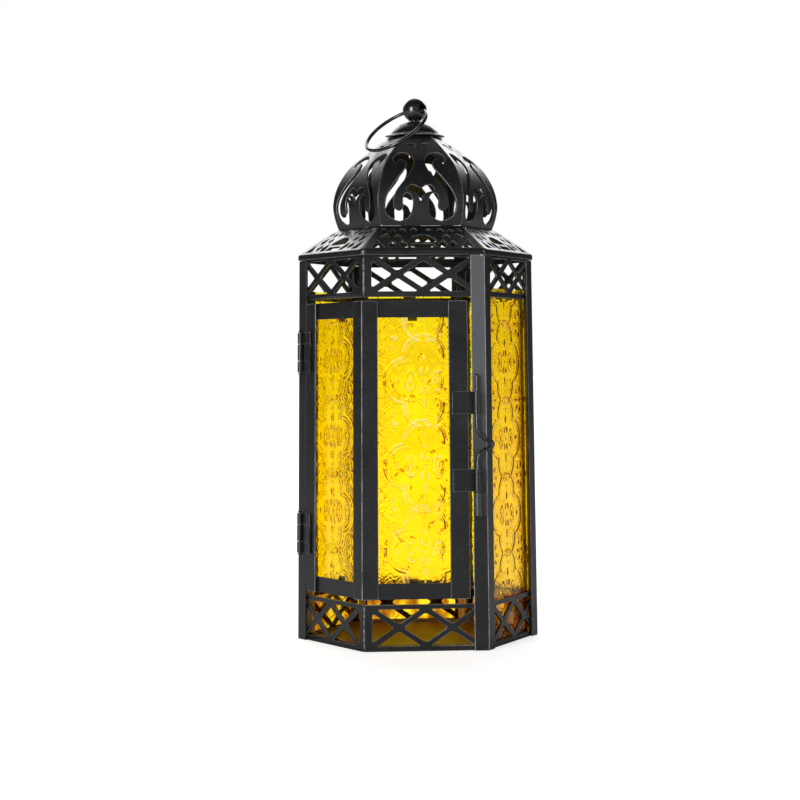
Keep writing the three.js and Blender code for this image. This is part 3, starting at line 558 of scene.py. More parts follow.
def solder_bead(name, bottom, top, wide):
    """A lumpy bead up the corner where two lattice panels meet under the door's fold."""
    sides, levels = 14, int((top - bottom) / 0.35)
    z = np.linspace(bottom, top, levels)
    ends = np.clip(np.minimum(z - bottom, top - z) / (2 * wide), 0.15, 1) ** 0.5
    lumps = 1 + 0.10 * np.sin(z * 2.1) * np.sin(z * 0.83 + 1) + 0.06 * np.sin(z * 5.3)
    corner = (APOTHEM + PANEL_OUT) / COS30
    points = [(-corner / 2 + size * math.cos(turn), -corner * COS30 + size * math.sin(turn), level)
              for level, size in zip(z, wide * ends * lumps)
              for turn in np.linspace(0, 2 * math.pi, sides, endpoint=False)]
    faces = ring_quads(levels, sides)
    faces += [tuple(reversed(range(sides))), tuple(range(len(points) - sides, len(points)))]
    mesh = new_mesh(name, lean(points), faces, [SOLDER], sharp_angle=60)
    add_piece(name, mesh, "frame", "black_paint")


solder_bead("solder_upper", 160.4, 178.2, 0.55)
solder_bead("solder_lower", 1.2, 20.8, 0.45)


# ---- pressed glass

LOBES = ((0.0, 11.0, 9.7), (0.0, -11.0, 9.7), (8.0, 0.0, 10.3), (-8.0, 0.0, 10.3))
RELIEF = 0.24
PANE_PITCH = 0.4


def bead(x, z, cx, cz, wide, tall):
    d = ((x - cx) / wide) ** 2 + ((z - cz) / tall) ** 2
    return np.clip(1 - d, 0, 1) ** 0.7


def ridge(distance, width):
    return np.exp(-(distance / width) ** 2)


def lobe_edge(u, v):
    """Distance outside the line of the four-lobed ring."""
    return np.min([np.hypot(u - cx, v - cz) - r for cx, cz, r in LOBES], axis=0)


def pressed_pattern(x, z, centre, period, grain):
    """Height, 0 to 1, of the relief: four-lobed rings in a column, with beads, eyes and curls."""
    scale = period / 38.5
    cell = np.round((z - centre) / period)
    relief = [np.zeros_like(x)]
    for shift in (-1, 0, 1):
        edge = lobe_edge(x / scale, (z - centre - (cell + shift) * period) / scale)
        relief += [ridge(edge, 0.55), 0.6 * ridge(edge + 1.7, 0.4)]
    u, v = x / scale, (z - centre - cell * period) / scale
    edge = lobe_edge(u, v)
    for side in (-1, 1):
        relief += [0.7 * ridge(np.hypot((u - side * 6.3) / 0.5, v) - 4.4, 0.8),
                   0.9 * bead(u, v, side * 12.6, 0, 0.8, 1.6),
                   0.8 * bead(u, v, side * 6.3, 0, 0.8, 2.4),
                   0.9 * bead(u, v, 0, side * 9.6, 0.8, 2.9),
                   0.6 * bead(u, v, 0, side * 14.6, 0.6, 1.6)]
        for far in (-1, 1):
            dx, dv = u - side * 19.2, v - far * 19.25
            radius, angle = np.hypot(dx, dv), np.arctan2(dv, dx)
            petals = np.cos(angle * 4) ** 2 * np.exp(-((radius - 5.2) / 1.9) ** 2)
            relief += [0.9 * bead(u, v, side * 1.5, far * 4.2, 0.75, 2.3),
                       0.9 * np.clip(petals * 1.4 - 0.3, 0, 1), 0.8 * bead(dx, dv, 0, 0, 1.4, 1.4)]
    rings = np.min([np.hypot(u - cx, v - cz) for cx, cz, _ in LOBES], axis=0)
    stipple = np.cos(rings * 2 * math.pi / 1.55) * np.cos(np.arctan2(v, u) * 26)
    inside, outside = np.clip(-(edge + 2.6) / 0.6, 0, 1), np.clip((edge - 1.2) / 0.8, 0, 1)
    curls = np.sin(u * 1.9 + 1.3 * np.sin(v * 1.1)) * np.sin(v * 1.7 + 1.5 * np.sin(u * 1.3 + 0.6))
    relief += [0.7 * bead(u, v, 0, 0, 0.7, 1.6), grain * np.clip(stipple, 0, 1) * inside,
               0.5 * ridge(curls, 0.22) * outside]
    return np.max(relief, axis=0)


def pressed_pane(name, x0, x1, z0, z1, out, centre, period, materials, strokes, grain):
    """A pane whose outer face carries the relief, its highest points in the CAD pane's face.

    `strokes` picks the cells of the relief that get the second and third materials, a painted dark
    refraction and a painted highlight, from the cells' mean height, its slope across the pane and their
    place.
    """
    columns, rows = int((x1 - x0) / PANE_PITCH) + 1, int((z1 - z0) / PANE_PITCH) + 1
    gx, gz = np.meshgrid(np.linspace(x0, x1, columns), np.linspace(z0, z1, rows))
    x, z = gx.ravel(), gz.ravel()
    rim = np.minimum.reduce([x - x0, x1 - x, z - z0, z1 - z])
    height = pressed_pattern(x, z, centre, period, grain) * np.clip(rim / 0.8, 0, 1)
    outer = np.column_stack([x, -(APOTHEM + out) + RELIEF * (1 - height), z])
    faces = [(r * columns + c, r * columns + c + 1, (r + 1) * columns + c + 1, (r + 1) * columns + c)
             for r in range(rows - 1) for c in range(columns - 1)]
    grid = height.reshape(rows, columns)
    left, right = grid[1:, :-1] + grid[:-1, :-1], grid[1:, 1:] + grid[:-1, 1:]
    slots = strokes((left + right) / 4, (right - left) / (2 * PANE_PITCH),
                    gx[:-1, :-1] + PANE_PITCH / 2, gz[:-1, :-1] + PANE_PITCH / 2)
    around = (list(range(columns)) + [r * columns + columns - 1 for r in range(1, rows)]
              + [(rows - 1) * columns + c for c in range(columns - 2, -1, -1)]
              + [r * columns for r in range(rows - 2, 0, -1)])
    back = outer[around].copy()
    back[:, 1] = -(APOTHEM + out) + GLASS
    total, ring, relief_faces = len(outer), len(around), len(faces)
    faces += [(around[i], total + i, total + (i + 1) % ring, around[(i + 1) % ring])
              for i in range(ring)]
    faces.append(tuple(total + i for i in reversed(range(ring))))
    return new_mesh(name, lean(np.vstack([outer, back])), faces, materials,
                    slots.ravel().astype(int).tolist() + [0] * (ring + 1),
                    smooth=[True] * relief_faces + [False] * (ring + 1), sharp_angle=50)


def uneven(x, z):
    """A slow wave, -1 to 1, that breaks the strokes up."""
    return np.sin(x * 0.9 + 1.7 * np.sin(z * 0.53)) * np.sin(z * 0.71 + 1.3 * np.sin(x * 0.6))


def side_strokes(height, slope, x, z):
    """Seen at a slant: the ridges are painted brown as dark refraction, broken up by a slow wave."""
    dark = (height > 0.50) & (uneven(x, z) > -0.40)
    dark |= (height > 0.24) & (height < 0.43) & (uneven(x * 1.7, z * 1.3) > 0.25)
    return np.where(dark, 1, 0)


def sparse_strokes(height, slope, x, z):
    """Only some of the crests are painted brown as dark refraction."""
    return np.where((height > 0.50) & (uneven(x, z) > 0.10), 1, 0)


def front_strokes(height, slope, x, z):
    """Seen square on: crests painted pale as highlights, and flanks painted dark as refraction only
    towards the sides of the pane.
    """
    dark = (np.abs(slope) > 0.55) & (x > 6.0) & (uneven(x, z) > -0.1)
    dark |= (np.abs(slope) > 0.7) & (x < -17.5) & (z > 33) & (uneven(x, z) > 0)
    pale = (height > 0.42) & (np.abs(x + 3.5) < 11.5) & (uneven(x * 0.8, z * 0.9) > -0.25)
    return np.where(dark, 1, np.where(pale, 2, 0))


CHANNEL_FACE = FIXED_GLASS_OUT - GLASS - GAP
FIXED_HALF = HALF - (-CHANNEL_FACE * TAN30 + SHEET / 2 / COS30) - GAP
FIXED_PLACE = (-FIXED_HALF, FIXED_HALF, 1.5, 164.0, FIXED_GLASS_OUT, 94.85, 35.5,
               [FIXED_GLASS, PAINTED_DARK_REFRACTION])
FOLD_END = HALF + (DOOR_GLASS_OUT - GLASS) * TAN30 - GAP
PANE_LAP = 3.4
fixed_pane = pressed_pane("fixed_glass", *FIXED_PLACE, side_strokes, 0.42)
back_pane = pressed_pane("fixed_glass_few_dark_strokes", *FIXED_PLACE, sparse_strokes, 0.10)
for wall in ("front_right", "back_right", "back", "back_left"):
    add_piece(f"pressed_glass_{wall}", back_pane if wall == "back" else fixed_pane, "frame",
              "amber_glass", f"fixed_glass_{wall}", turn=WALL_TURN[wall])

right_pane = pressed_pane("pressed_glass_door_right", -FOLD_END, HALF - 17.3 + PANE_LAP, 28.0, 153.0,
                          DOOR_GLASS_OUT, 83.6, 38.5, [FRONT_GLASS, PAINTED_DARK_REFRACTION, PAINTED_HIGHLIGHT_GLASS],
                          front_strokes, 0.08)
left_pane = pressed_pane("pressed_glass_door_left", -HALF + 16.4 - PANE_LAP, FOLD_END, 28.0, 153.0,
                         DOOR_GLASS_OUT, 97.0, 35.2, [LEFT_GLASS, PAINTED_DARK_REFRACTION],
                         sparse_strokes, 0.12)
add_piece("pressed_glass_door_right", right_pane, "door", "amber_glass", "door_glass_right")
add_piece("pressed_glass_door_left", left_pane, "door", "amber_glass", "door_glass_left",
          turn=WALL_TURN["front_left"])


# ---- roof skirt

RIM_RADIUS = 56.2
RIM_BOTTOM = 178.6
RIM_EASE = 2.5
SHARP_FROM = 41  # distance from the axis within which the roof's corners are sharp
ROOF_TOP_Z = 192.8
ROOF_TOP_RADIUS = 37.4
ROOF_MOUTH_RADIUS = 29.5


class Profile:
    """A sheet's section (apothem, z) as a smooth line with its outward normals."""

    def __init__(self, points, gap=0.0):
        points = np.asarray(points, float)
        lengths = np.hypot(*np.diff(points, axis=0).T)
        self.s = np.concatenate([[0], np.cumsum(lengths)])
        self.points = points
        self.gap = gap
        tangent = np.gradient(points, self.s, axis=0)
        tangent /= np.linalg.norm(tangent, axis=1)[:, None]
        self.normal = np.column_stack([tangent[:, 1], -tangent[:, 0]])

    def at(self, s, depth=0.0):
        a = np.interp(s, self.s, self.points[:, 0]) - depth * np.interp(s, self.s, self.normal[:, 0])
        z = np.interp(s, self.s, self.points[:, 1]) - depth * np.interp(s, self.s, self.normal[:, 1])
        return a, z

    def half_width(self, s, depth=0.0):
        return self.at(s, depth)[0] * TAN30 - self.gap / COS30

    def place(self, x, s, depth):
        a, z = self.at(s, depth)
        scale = self.half_width(s, depth) / self.half_width(s)
        return np.column_stack([x * scale, -a, z])


def rounded(points, radius, steps, share, closed=False):
    """A line or outline with its corners rounded, each on up to `share` of the sides it joins."""
    points = np.asarray(points, float)
    if closed:
        corners = zip(np.roll(points, 1, 0), points, np.roll(points, -1, 0))
    else:
        corners = zip(points, points[1:], points[2:])
    line = []
    for before, corner, after in corners:
        start, end = (corner + way / np.linalg.norm(way) * min(radius, np.linalg.norm(way) * share)
                      for way in (before - corner, after - corner))
        line += [(1 - t) ** 2 * start + 2 * t * (1 - t) * corner + t ** 2 * end
                 for t in np.linspace(0, 1, steps)]
    return np.array(line if closed else [points[0], *line, points[-1]])


def densified(line, pitch):
    lengths = np.concatenate([[0], np.cumsum(np.hypot(*np.diff(line, axis=0).T))])
    at = np.unique(np.concatenate([lengths, np.linspace(0, lengths[-1], int(lengths[-1] / pitch))]))
    at = at[np.concatenate([[True], np.diff(at) > 0.05])]
    return np.column_stack([np.interp(at, lengths, line[:, k]) for k in (0, 1)])


roof = Profile(densified(rounded([
    (RIM_RADIUS * COS30, RIM_BOTTOM), (RIM_RADIUS * COS30, EAVES_Z),
    (ROOF_TOP_RADIUS * COS30, ROOF_TOP_Z), (ROOF_MOUTH_RADIUS * COS30, ROOF_TOP_Z),
], 0.7, 5, 0.45), 0.56))
roof_start = EAVES_Z - RIM_BOTTOM

# Openings of the right half of a roof face: (along the eaves, up the slope).
ROOF_HALF = [
    [(6.9, 1.7), (9.9, 1.5), (11.2, 4.4), (9.2, 8.0), (6.9, 4.6)],
    [(13.6, 1.8), (15.9, 4.4), (13.6, 7.4), (11.9, 4.8)],
    [(17.2, 1.6), (23.0, 1.6), (20.6, 8.2)],
    [(10.9, 8.4), (12.9, 10.4), (10.9, 12.6), (9.3, 10.2)],
    [(14.9, 9.0), (17.2, 7.4), (18.9, 10.4), (15.6, 13.4)],
    [(13.0, 13.4), (14.8, 15.2), (13.0, 17.0), (11.4, 15.2)],
    [(8.6, 13.6), (10.4, 15.6), (8.6, 17.8), (6.9, 15.6)],
    [(3.4, 14.4), (5.2, 16.2), (3.4, 18.2), (1.8, 16.2)],
    [(17.2, 14.2), (18.4, 15.4), (16.9, 17.8), (15.6, 16.4)],
]
roof_holes = [[(-5.9, 1.8), (5.9, 1.8), (4.7, 4.7), (-4.7, 4.7)],
              [(-6.4, 6.2), (6.4, 6.2), (6.1, 8.6), (4.2, 10.9), (1.6, 12.3), (-1.6, 12.3),
               (-4.2, 10.9), (-6.1, 8.6)]]
for shape in ROOF_HALF:
    roof_holes += [shape, [(-p, q) for p, q in reversed(shape)]]
roof_holes_field = holes_field([rounded([(p, q + roof_start) for p, q in hole], 0.35, 3, 0.4,
                                        closed=True) for hole in roof_holes])


def roof_field(x, s):
    return np.minimum(roof_holes_field(x, s), np.minimum(s, roof.s[-1] - s))


def roof_place(x, s, depth):
    """The hexagonal roof, its corners rounded at the rim and sharper up the slope."""
    points = roof.place(x, s, depth)
    a = -points[:, 1]
    ease = RIM_EASE * np.clip((a - SHARP_FROM) / (RIM_RADIUS * COS30 - SHARP_FROM), 0.12, 1)
    from_corner = a * TAN30 - np.abs(points[:, 0])
    t = 0.5 * np.clip(1 - from_corner / ease, 0, 1)
    eased = (a * TAN30 - ease + ease * (2 * t - 0.5 * t ** 2)) * np.sign(points[:, 0])
    points[:, 0] = np.where(t > 0, eased, points[:, 0])
    points[:, 1] += np.where(t > 0, ease * 0.866 * t ** 2, 0)
    return points


corner_pack = np.concatenate([np.linspace(0, 0.9, 44), np.linspace(0.9, 1, 11)[1:]])
roof_us = np.concatenate([-corner_pack[::-1], corner_pack[1:]])
points, faces, slots = pierced_sheet(roof_us, roof.s, roof.half_width, roof_field, roof_place, 0.16)
points, faces = joined([(turned(points, 60 * i), faces) for i in range(6)])
roof_mesh = new_mesh("pierced_roof", points, faces, [PAINT, EDGE], slots * 6)
weld(add_piece("pierced_roof", roof_mesh, "frame", "black_paint", "roof_skirt"), 2e-5)


# ---- dome

DOME_CURVE = [(36.55, 192.84), (38.4, 198.6), (39.1, 205.0), (36.9, 213.4), (31.4, 221.9),
              (22.8, 229.2), (12.9, 236.4)]
HOOK = [
    (3.7, 201.6), (4.0, 205.6), (6.2, 207.9), (7.9, 206.4), (8.2, 203.6), (8.1, 201.0), (9.8, 199.4),
    (12.2, 200.9), (12.6, 204.4), (11.5, 208.2), (9.0, 211.8), (6.0, 215.4), (4.0, 218.4),
    (2.6, 221.8), (2.7, 224.4), (4.7, 226.6), (7.9, 227.3), (10.7, 226.3), (12.0, 223.9),
    (10.8, 221.6), (9.6, 223.4), (7.4, 223.8), (6.0, 222.2), (6.5, 220.0), (8.4, 217.2),
    (12.4, 212.0), (15.6, 206.6), (16.5, 201.6), (15.3, 197.6), (12.1, 195.4), (8.8, 195.0),
    (5.0, 197.2),
]
COMMA = [(1.3, 229.2), (2.2, 230.9), (5.0, 231.9), (3.0, 232.3), (1.2, 231.3)]
MOUSTACHE = [(0, 203.9), (1.2, 206.6), (3.2, 208.0), (6.5, 209.0), (5.0, 211.2), (2.6, 211.4),
             (1.0, 210.4), (0, 210.1)]

dome = Profile(catmull([(r * COS30, z) for r, z in DOME_CURVE], 14), gap=GAP / 2)


def on_dome(points):
    """An elevation outline (x, z) as (x, distance along the gore)."""
    points = np.asarray(points, float)
    return np.column_stack([points[:, 0], np.interp(points[:, 1], dome.points[:, 1], dome.s)])


hook, comma = catmull(HOOK, 6, closed=True), catmull(COMMA, 5, closed=True)
moustache = catmull(MOUSTACHE + [(-x, z) for x, z in MOUSTACHE[-2:0:-1]], 4, closed=True)
dome_holes_field = holes_field([on_dome(outline) for outline in (
    hook, hook * (-1, 1), comma, comma * (-1, 1), moustache)])


def gore_field(x, s):
    side = (dome.half_width(s) - np.abs(x)) * COS30
    ends = np.minimum(s, dome.s[-1] - s)
    return np.minimum(dome_holes_field(x, s), np.minimum(side, ends))


points, faces, slots = pierced_sheet(np.linspace(-1, 1, 91), np.linspace(0, dome.s[-1], 112),
                                     dome.half_width, gore_field, dome.place, 0.15)
gore_mesh = new_mesh("pierced_gore", points, faces, [PAINT, EDGE], slots)
for wall, turn in WALL_TURN.items():
    add_piece(f"pierced_gore_{wall}", gore_mesh, "frame", "black_paint", f"dome_gore_{wall}",
              turn=turn)


# ---- cap, finial and ring

CAP_Z = 236.9
CAP_BRIM = 14.2
CAP_CROWN = 11.4
CAP_CREASE_Z = 238.0
CAP_TOP_Z = 244.3
STEM_HOLE = 1.9
BALL_Z = 249.75
BALL_RADIUS = 5.65
BALL_HOLE = 2.25
NECK_RADIUS = 2.7
STEM_RADIUS = 1.6
STEM_BOTTOM = 228.0
RING_RADIUS = 15.9
RING_WIRE = 0.85
RING_HEADING = math.radians(219.3)
RING_DROOP = math.radians(40.5)


def cap_shape(angles, radius):
    """Hexagonal outside the crease and round within it."""
    sector = (angles + math.pi / 6) % (math.pi / 3) - math.pi / 6
    corner_sector = math.pi / 6 - np.abs(sector)
    hexagonal = radius * COS30 / np.cos(np.minimum(corner_sector, math.radians(29)))
    blend = np.clip((CAP_BRIM - radius) / (CAP_BRIM - CAP_CROWN), 0, 1) ** 1.5
    return hexagonal * (1 - blend) + radius * blend


CROWN_CURVE = catmull([(1, 0), (0.96, 0.16), (0.88, 0.36), (0.72, 0.62), (0.52, 0.82), (0.3, 0.95),
                       (0.167, 0.972)], 4)
crown = [(CAP_CROWN * r, CAP_CREASE_Z + (CAP_TOP_Z - CAP_CREASE_Z) * h) for r, h in CROWN_CURVE]
inner = [((CAP_CROWN - 0.9) * r, CAP_CREASE_Z + (CAP_TOP_Z - 0.9 - CAP_CREASE_Z) * h)
         for r, h in CROWN_CURVE[-2::-1]]
cap_profile = ([(CAP_BRIM - 0.25, CAP_Z), (CAP_BRIM - 0.05, CAP_Z + 0.12), (CAP_BRIM, CAP_Z + 0.35),
                (CAP_BRIM - 0.05, CAP_Z + 0.6), (CAP_BRIM - 0.3, CAP_Z + 0.72),
                (13.2, CAP_CREASE_Z - 0.25), (12.3, CAP_CREASE_Z - 0.05), (11.9, CAP_CREASE_Z),
                (11.6, CAP_CREASE_Z - 0.02)]
               + crown + [(STEM_HOLE, CAP_TOP_Z - 0.9)] + inner
               + [(10.6, CAP_Z + 0.1), (10.9, CAP_Z)])
points, faces = lathe(cap_profile, 96, cap_shape)
on_edge = [row < 4 or 7 <= row < 10 for row in range(len(cap_profile)) for _ in range(96)]
cap_mesh = new_mesh("pressed_cap", points, faces, [PAINT, EDGE], on_edge, sharp_angle=60)
add_piece("pressed_cap", cap_mesh, "frame", "black_paint", "dome_cap")

heading = Vector((math.cos(RING_HEADING), math.sin(RING_HEADING), 0))
hole_axis = Vector((-heading.y, heading.x, 0))

start = math.asin(NECK_RADIUS / BALL_RADIUS)
ball_arc = [(BALL_RADIUS * math.sin(a), BALL_Z - BALL_RADIUS * math.cos(a))
            for a in np.linspace(start, math.radians(179), 40)]
stem_top = CAP_TOP_Z + GAP
finial_profile = ([(0.01, STEM_BOTTOM), (STEM_RADIUS - 0.3, STEM_BOTTOM),
                   (STEM_RADIUS, STEM_BOTTOM + 0.3), (STEM_RADIUS, stem_top),
                   (NECK_RADIUS + 0.2, stem_top), (NECK_RADIUS + 0.35, stem_top + 0.2),
                   (NECK_RADIUS + 0.1, CAP_TOP_Z + 0.75)] + ball_arc)
points, faces = lathe(finial_profile, 72)
finial = add_piece("drilled_ball", new_mesh("drilled_ball", points, faces[:-72], [WIRE]),
                   "frame", "wire_paint", "finial_ball")
weld(finial, 5e-5)
points, faces = tube([hole_axis * d + Vector((0, 0, BALL_Z)) for d in (-9, -3, 3, 9)], BALL_HOLE, 48)
drill = new_piece("drill", new_mesh("drill", points, faces, [WIRE]))
drilled = finial.modifiers.new("drilled", "BOOLEAN")
drilled.operation = "DIFFERENCE"
drilled.solver = "EXACT"
drilled.object = drill
bpy.context.view_layer.update()
shaped = bpy.data.meshes.new_from_object(finial.evaluated_get(bpy.context.evaluated_depsgraph_get()))
finial.modifiers.clear()
finial.data = shaped
shaped.set_sharp_from_angle(angle=math.radians(40))
bpy.data.objects.remove(drill)
soften(finial, 0.22, 3, edge_slot=-1, angle=40)

down = Matrix.Rotation(RING_DROOP, 3, hole_axis) @ heading
ring_centre = Vector((0, 0, BALL_Z)) + down * RING_RADIUS
points, faces = tube([ring_centre + RING_RADIUS * (math.cos(a) * hole_axis + math.sin(a) * down)
                      for a in np.arange(120) * 2 * math.pi / 120], RING_WIRE, closed=True)
add_piece("wire_ring", new_mesh("wire_ring", points, faces, [WIRE]), "carry_ring", "wire_paint",
          "carry_ring")


# ---- hinges and latch

def curled_strap(axis_x, axis_out, radius, way, reach, thickness, step_at=None, low=None):
    """Plan outline of a strap curled round a pin: flat, then stepping down onto the next sheet."""
    mid = radius - thickness / 2
    floor = axis_out - radius + thickness / 2
    end = axis_x + way * reach
    if low is None:
        line = [(end, floor)]
    else:
        line = [(end, low + thickness / 2), (step_at + way * 1.5, low + thickness / 2),
                (step_at - way * 0.2, floor)]
    line += [(axis_x - way * mid * math.sin(a), axis_out - mid * math.cos(a))
             for a in np.linspace(0, math.radians(300), 40)]
    line = np.array(line)
    tangent = np.gradient(line, axis=0)
    tangent /= np.linalg.norm(tangent, axis=1)[:, None]
    normal = np.column_stack([tangent[:, 1], -tangent[:, 0]]) * thickness / 2
    outline = np.vstack([line + normal, (line - normal)[::-1]])
    outline[:, 1] = -(APOTHEM + outline[:, 1])
    ahead = np.roll(outline, -1, 0)
    area = np.sum(outline[:, 0] * ahead[:, 1] - ahead[:, 0] * outline[:, 1])
    return outline if area > 0 else outline[::-1]


def curled_piece(name, parts, material, body, slot, node, turn=0):
    """Straps and plates as one piece with eased edges."""
    mesh = new_mesh(name, *joined(parts), [material, EDGE], sharp_angle=35, turn=turn)
    soften(add_piece(name, mesh, body, slot, node), 0.13, 2, angle=50)


HINGE_X, HINGE_OUT, HINGE_R = -HALF + 4.0, 1.6, 1.3
HINGE_REACH = 9.0
HINGE_END = HINGE_X + HINGE_REACH
HINGE_STRAP = 0.6
KNUCKLE = 5.2
POST_LEG = 6.6
ON_DOOR = DOOR_OUT + GAP
HINGE_TURN = WALL_TURN["front_left"]
post_edge = -HALF + POST_LEG + 0.2
knuckles = curled_strap(HINGE_X, HINGE_OUT, HINGE_R, 1, HINGE_REACH, HINGE_STRAP, post_edge, ON_DOOR)
post_curl = curled_strap(HINGE_X, HINGE_OUT, HINGE_R, -1, 3.3, HINGE_STRAP)
plate = np.array([(HINGE_X + 1.85, GAP), (post_edge - 0.5, GAP), (post_edge + 1.3, ON_DOOR),
                  (HINGE_END, ON_DOOR), (HINGE_END, ON_DOOR + HINGE_STRAP),
                  (post_edge + 1.0, ON_DOOR + HINGE_STRAP), (post_edge - 0.8, GAP + HINGE_STRAP),
                  (HINGE_X + 1.85, GAP + HINGE_STRAP)])
plate[:, 1] = -(APOTHEM + plate[:, 1])
for label, bottom, top in (("lower", 41.2, 59.8), ("upper", 126.0, 144.6)):
    low, high = bottom + KNUCKLE, top - KNUCKLE
    curled_piece(f"hinge_{label}_leaf", [extrude_plan(knuckles, bottom, low),
                                         extrude_plan(knuckles, high, top),
                                         extrude_plan(plate, low, high)],
                 PAINT, "door", "black_paint", f"hinge_{label}_door_leaf", HINGE_TURN)
    curled_piece(f"hinge_{label}_post_leaf", [extrude_plan(post_curl, low + GAP, high - GAP)], PAINT,
                 "frame", "black_paint", f"hinge_{label}_frame_leaf", HINGE_TURN)
    pin_head = ((0.01, 0.9), (0.8, 0.9), (1.0, 0.7), (1.05, 0.35), (0.95, GAP), (0.55, GAP))
    pin_points, pin_faces = lathe([(r, bottom - z) for r, z in pin_head]
                                  + [(r, top + z) for r, z in reversed(pin_head)], 32)
    pin_points = lean(pin_points + (HINGE_X, -(APOTHEM + HINGE_OUT), 0))
    pin_mesh = new_mesh(f"hinge_{label}_rivet", pin_points, pin_faces, [WIRE], sharp_angle=45,
                        turn=HINGE_TURN)
    add_piece(f"hinge_{label}_rivet", pin_mesh, "frame", "wire_paint", f"hinge_{label}_pin")

LATCH_X, LATCH_OUT, LATCH_R = HALF - 4.5, 2.0, 1.7
LATCH_STRAP = 0.55
BOLT_RADIUS = 0.85
BOLT_BOTTOM, BOLT_TOP = 72.1, 125.2
guide = curled_strap(LATCH_X, LATCH_OUT, LATCH_R, -1, 11.4, LATCH_STRAP, HALF - POST_LEG - 0.2, ON_DOOR)
for label, bottom, top in (("lower", 71.9, 82.1), ("upper", 106.9, 117.1)):
    curled_piece(f"latch_{label}_curl", [extrude_plan(guide, bottom, top)], PAINT, "door",
                 "black_paint", f"latch_guide_{label}")
keeper = curled_strap(LATCH_X, LATCH_OUT, LATCH_R, 1, 4.1, LATCH_STRAP)
curled_piece("latch_keeper_curl", [extrude_plan(keeper, 61.1, 71.3)], KEEPER, "frame", "post_paint",
             "latch_keeper")

THUMB = 7.1  # how far the bolt's bent middle stands out sideways
bolt_line = catmull([(0, BOLT_TOP), (0, 117), (0, 108), (0, 100.2), (1.3, 97.6), (3.9, 95.2),
                     (6.3, 94.6), (THUMB, 93.2), (6.0, 91.8), (3.2, 90.6), (0.9, 88.6), (0, 85.6),
                     (0, 79), (0, BOLT_BOTTOM)], 8)
bolt_line = [(x, z) for x, z in bolt_line
             if BOLT_BOTTOM + BOLT_RADIUS <= z <= BOLT_TOP - BOLT_RADIUS]
points, faces = tube(lean([(LATCH_X + min(x, THUMB), -(APOTHEM + LATCH_OUT), z)
                           for x, z in bolt_line]), BOLT_RADIUS)
add_piece("wire_bolt", new_mesh("wire_bolt", points, faces, [WIRE]), "latch_bolt", "wire_paint",
          "latch_bolt")


# ---- light, floor and camera

def seen_directly(n):
    """1 for a ray from the camera straight or through glass, and less after every reflection."""
    path = n.add("ShaderNodeLightPath").outputs
    seen = n.math("MAXIMUM", path["Is Camera Ray"], path["Is Transmission Ray"])
    bounces = n.math("ADD", path["Diffuse Depth"], path["Glossy Depth"])
    return n.math("MULTIPLY", seen, n.math("POWER", 0.5, bounces))


def studio():
    """White where it is seen, and for the rest dim, with a bright patch high behind the lantern."""
    n = Nodes("studio", bpy.data.worlds, "Background", "Generated")
    bpy.context.scene.world = n.block
    glow = n.ramp(n.rise(n.dot(n.place, (0, 0.8, 0.6)), -1, 1), (0.0, 0.26), (0.22, 0.22),
                  (0.42, 0.04), (0.78, 0.04), (0.90, 0.14), (0.94, 0.45), (0.97, 1.4))
    n.set(Color=n.mix(seen_directly(n), glow, (1, 1, 1)), Strength=1.0)


def softbox(name, location, size, power, target=(0, 0, 0.16)):
    lamp = bpy.data.lights.new(name, "AREA")
    lamp.shape = "RECTANGLE"
    lamp.size, lamp.size_y = size
    lamp.energy = power
    holder = bpy.data.objects.new(name, lamp)
    bpy.context.scene.collection.objects.link(holder)
    holder.location = location
    holder.visible_camera = False
    holder.visible_transmission = False
    holder.rotation_euler = (Vector(target) - Vector(location)).to_track_quat("-Z", "Y").to_euler()


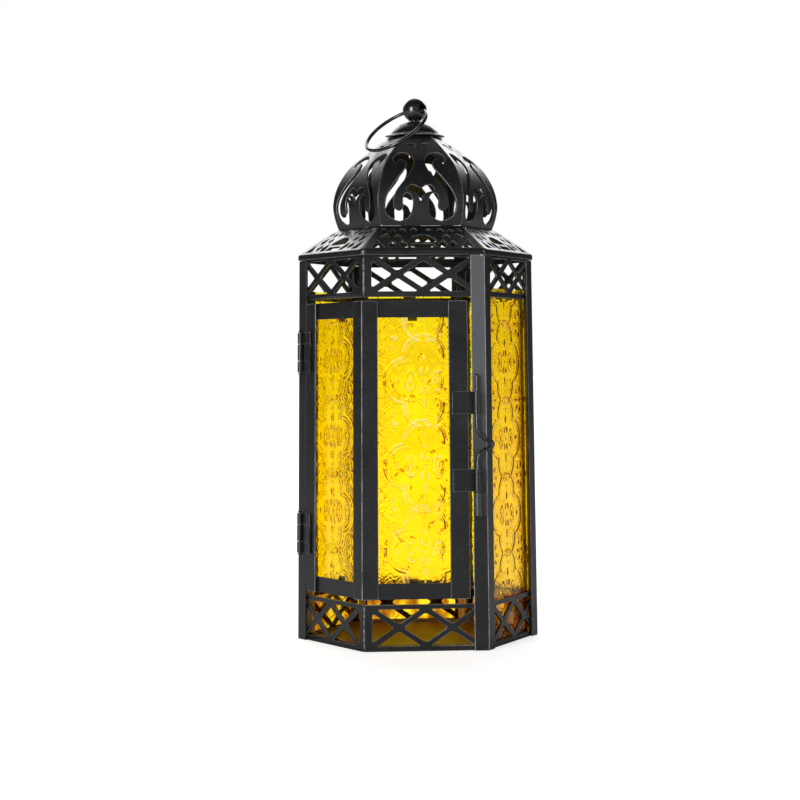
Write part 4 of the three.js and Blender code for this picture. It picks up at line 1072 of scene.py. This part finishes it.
def pale_floor(side=20000):
    """A pale floor that glows a little where it is seen, to run into the white round it."""
    n = Nodes("pale_floor")
    seen = seen_directly(n)
    distance = n.add("ShaderNodeVectorMath", {0: n.place}, operation="LENGTH").outputs["Value"]
    far = n.ramp(n.math("MULTIPLY", distance, 0.5), (0.2, 0.72), (1.0, 1.0))
    n.set(Base_Color=n.ramp(n.noise(2, 2), (0.3, 0.80), (0.7, 0.84)), Roughness=0.8,
          Specular_IOR_Level=0.1, Emission_Color=(1, 1, 1),
          Emission_Strength=n.math("MULTIPLY", seen, far))
    corners = [(-side, -side, 0), (side, -side, 0), (side, side, 0), (-side, side, 0)]
    return new_mesh("floor", corners, [(0, 1, 2, 3)], [n.block])


studio()
softbox("left_box", (-0.74, -0.92, 0.27), (0.42, 0.75), 9.0, target=(0, 0, 0.18))
softbox("right_box", (0.95, -0.75, 0.36), (0.16, 0.9), 2.6)
softbox("back_box", (0.0, 1.35, 0.95), (1.9, 0.45), 9.0)
floor_mesh = pale_floor()
new_piece("floor", floor_mesh)

AZIMUTH, PITCH, ROLL = math.radians(-4.1), math.radians(-1.053), math.radians(-0.40)
CAMERA_AWAY, CAMERA_Z = 0.916, 0.1293
FOCAL_PIXELS, IMAGE_SIDE, AXIS_PIXEL = 1930.0, 800, 416.8
camera_data = bpy.data.cameras.new("camera")
camera_data.sensor_width = 36
camera_data.lens = FOCAL_PIXELS / IMAGE_SIDE * 36
camera_data.clip_start, camera_data.clip_end = 0.01, 100
camera_data.shift_x = (IMAGE_SIDE / 2 - AXIS_PIXEL) / IMAGE_SIDE
camera = bpy.data.objects.new("camera", camera_data)
bpy.context.scene.collection.objects.link(camera)
back = Vector((math.sin(AZIMUTH), -math.cos(AZIMUTH), 0))
right = Vector((math.cos(AZIMUTH), math.sin(AZIMUTH), 0))
forward = (-back * math.cos(PITCH) + Vector((0, 0, 1)) * math.sin(PITCH)).normalized()
up = right.cross(forward)
across = right * math.cos(ROLL) + up * math.sin(ROLL)
above = across.cross(forward)
camera.matrix_world = Matrix.Translation(back * CAMERA_AWAY + Vector((0, 0, CAMERA_Z))) @ Matrix((
    across, above, -forward)).transposed().to_4x4()
bpy.context.scene.camera = camera
bpy.context.scene.view_settings.view_transform = "Standard"
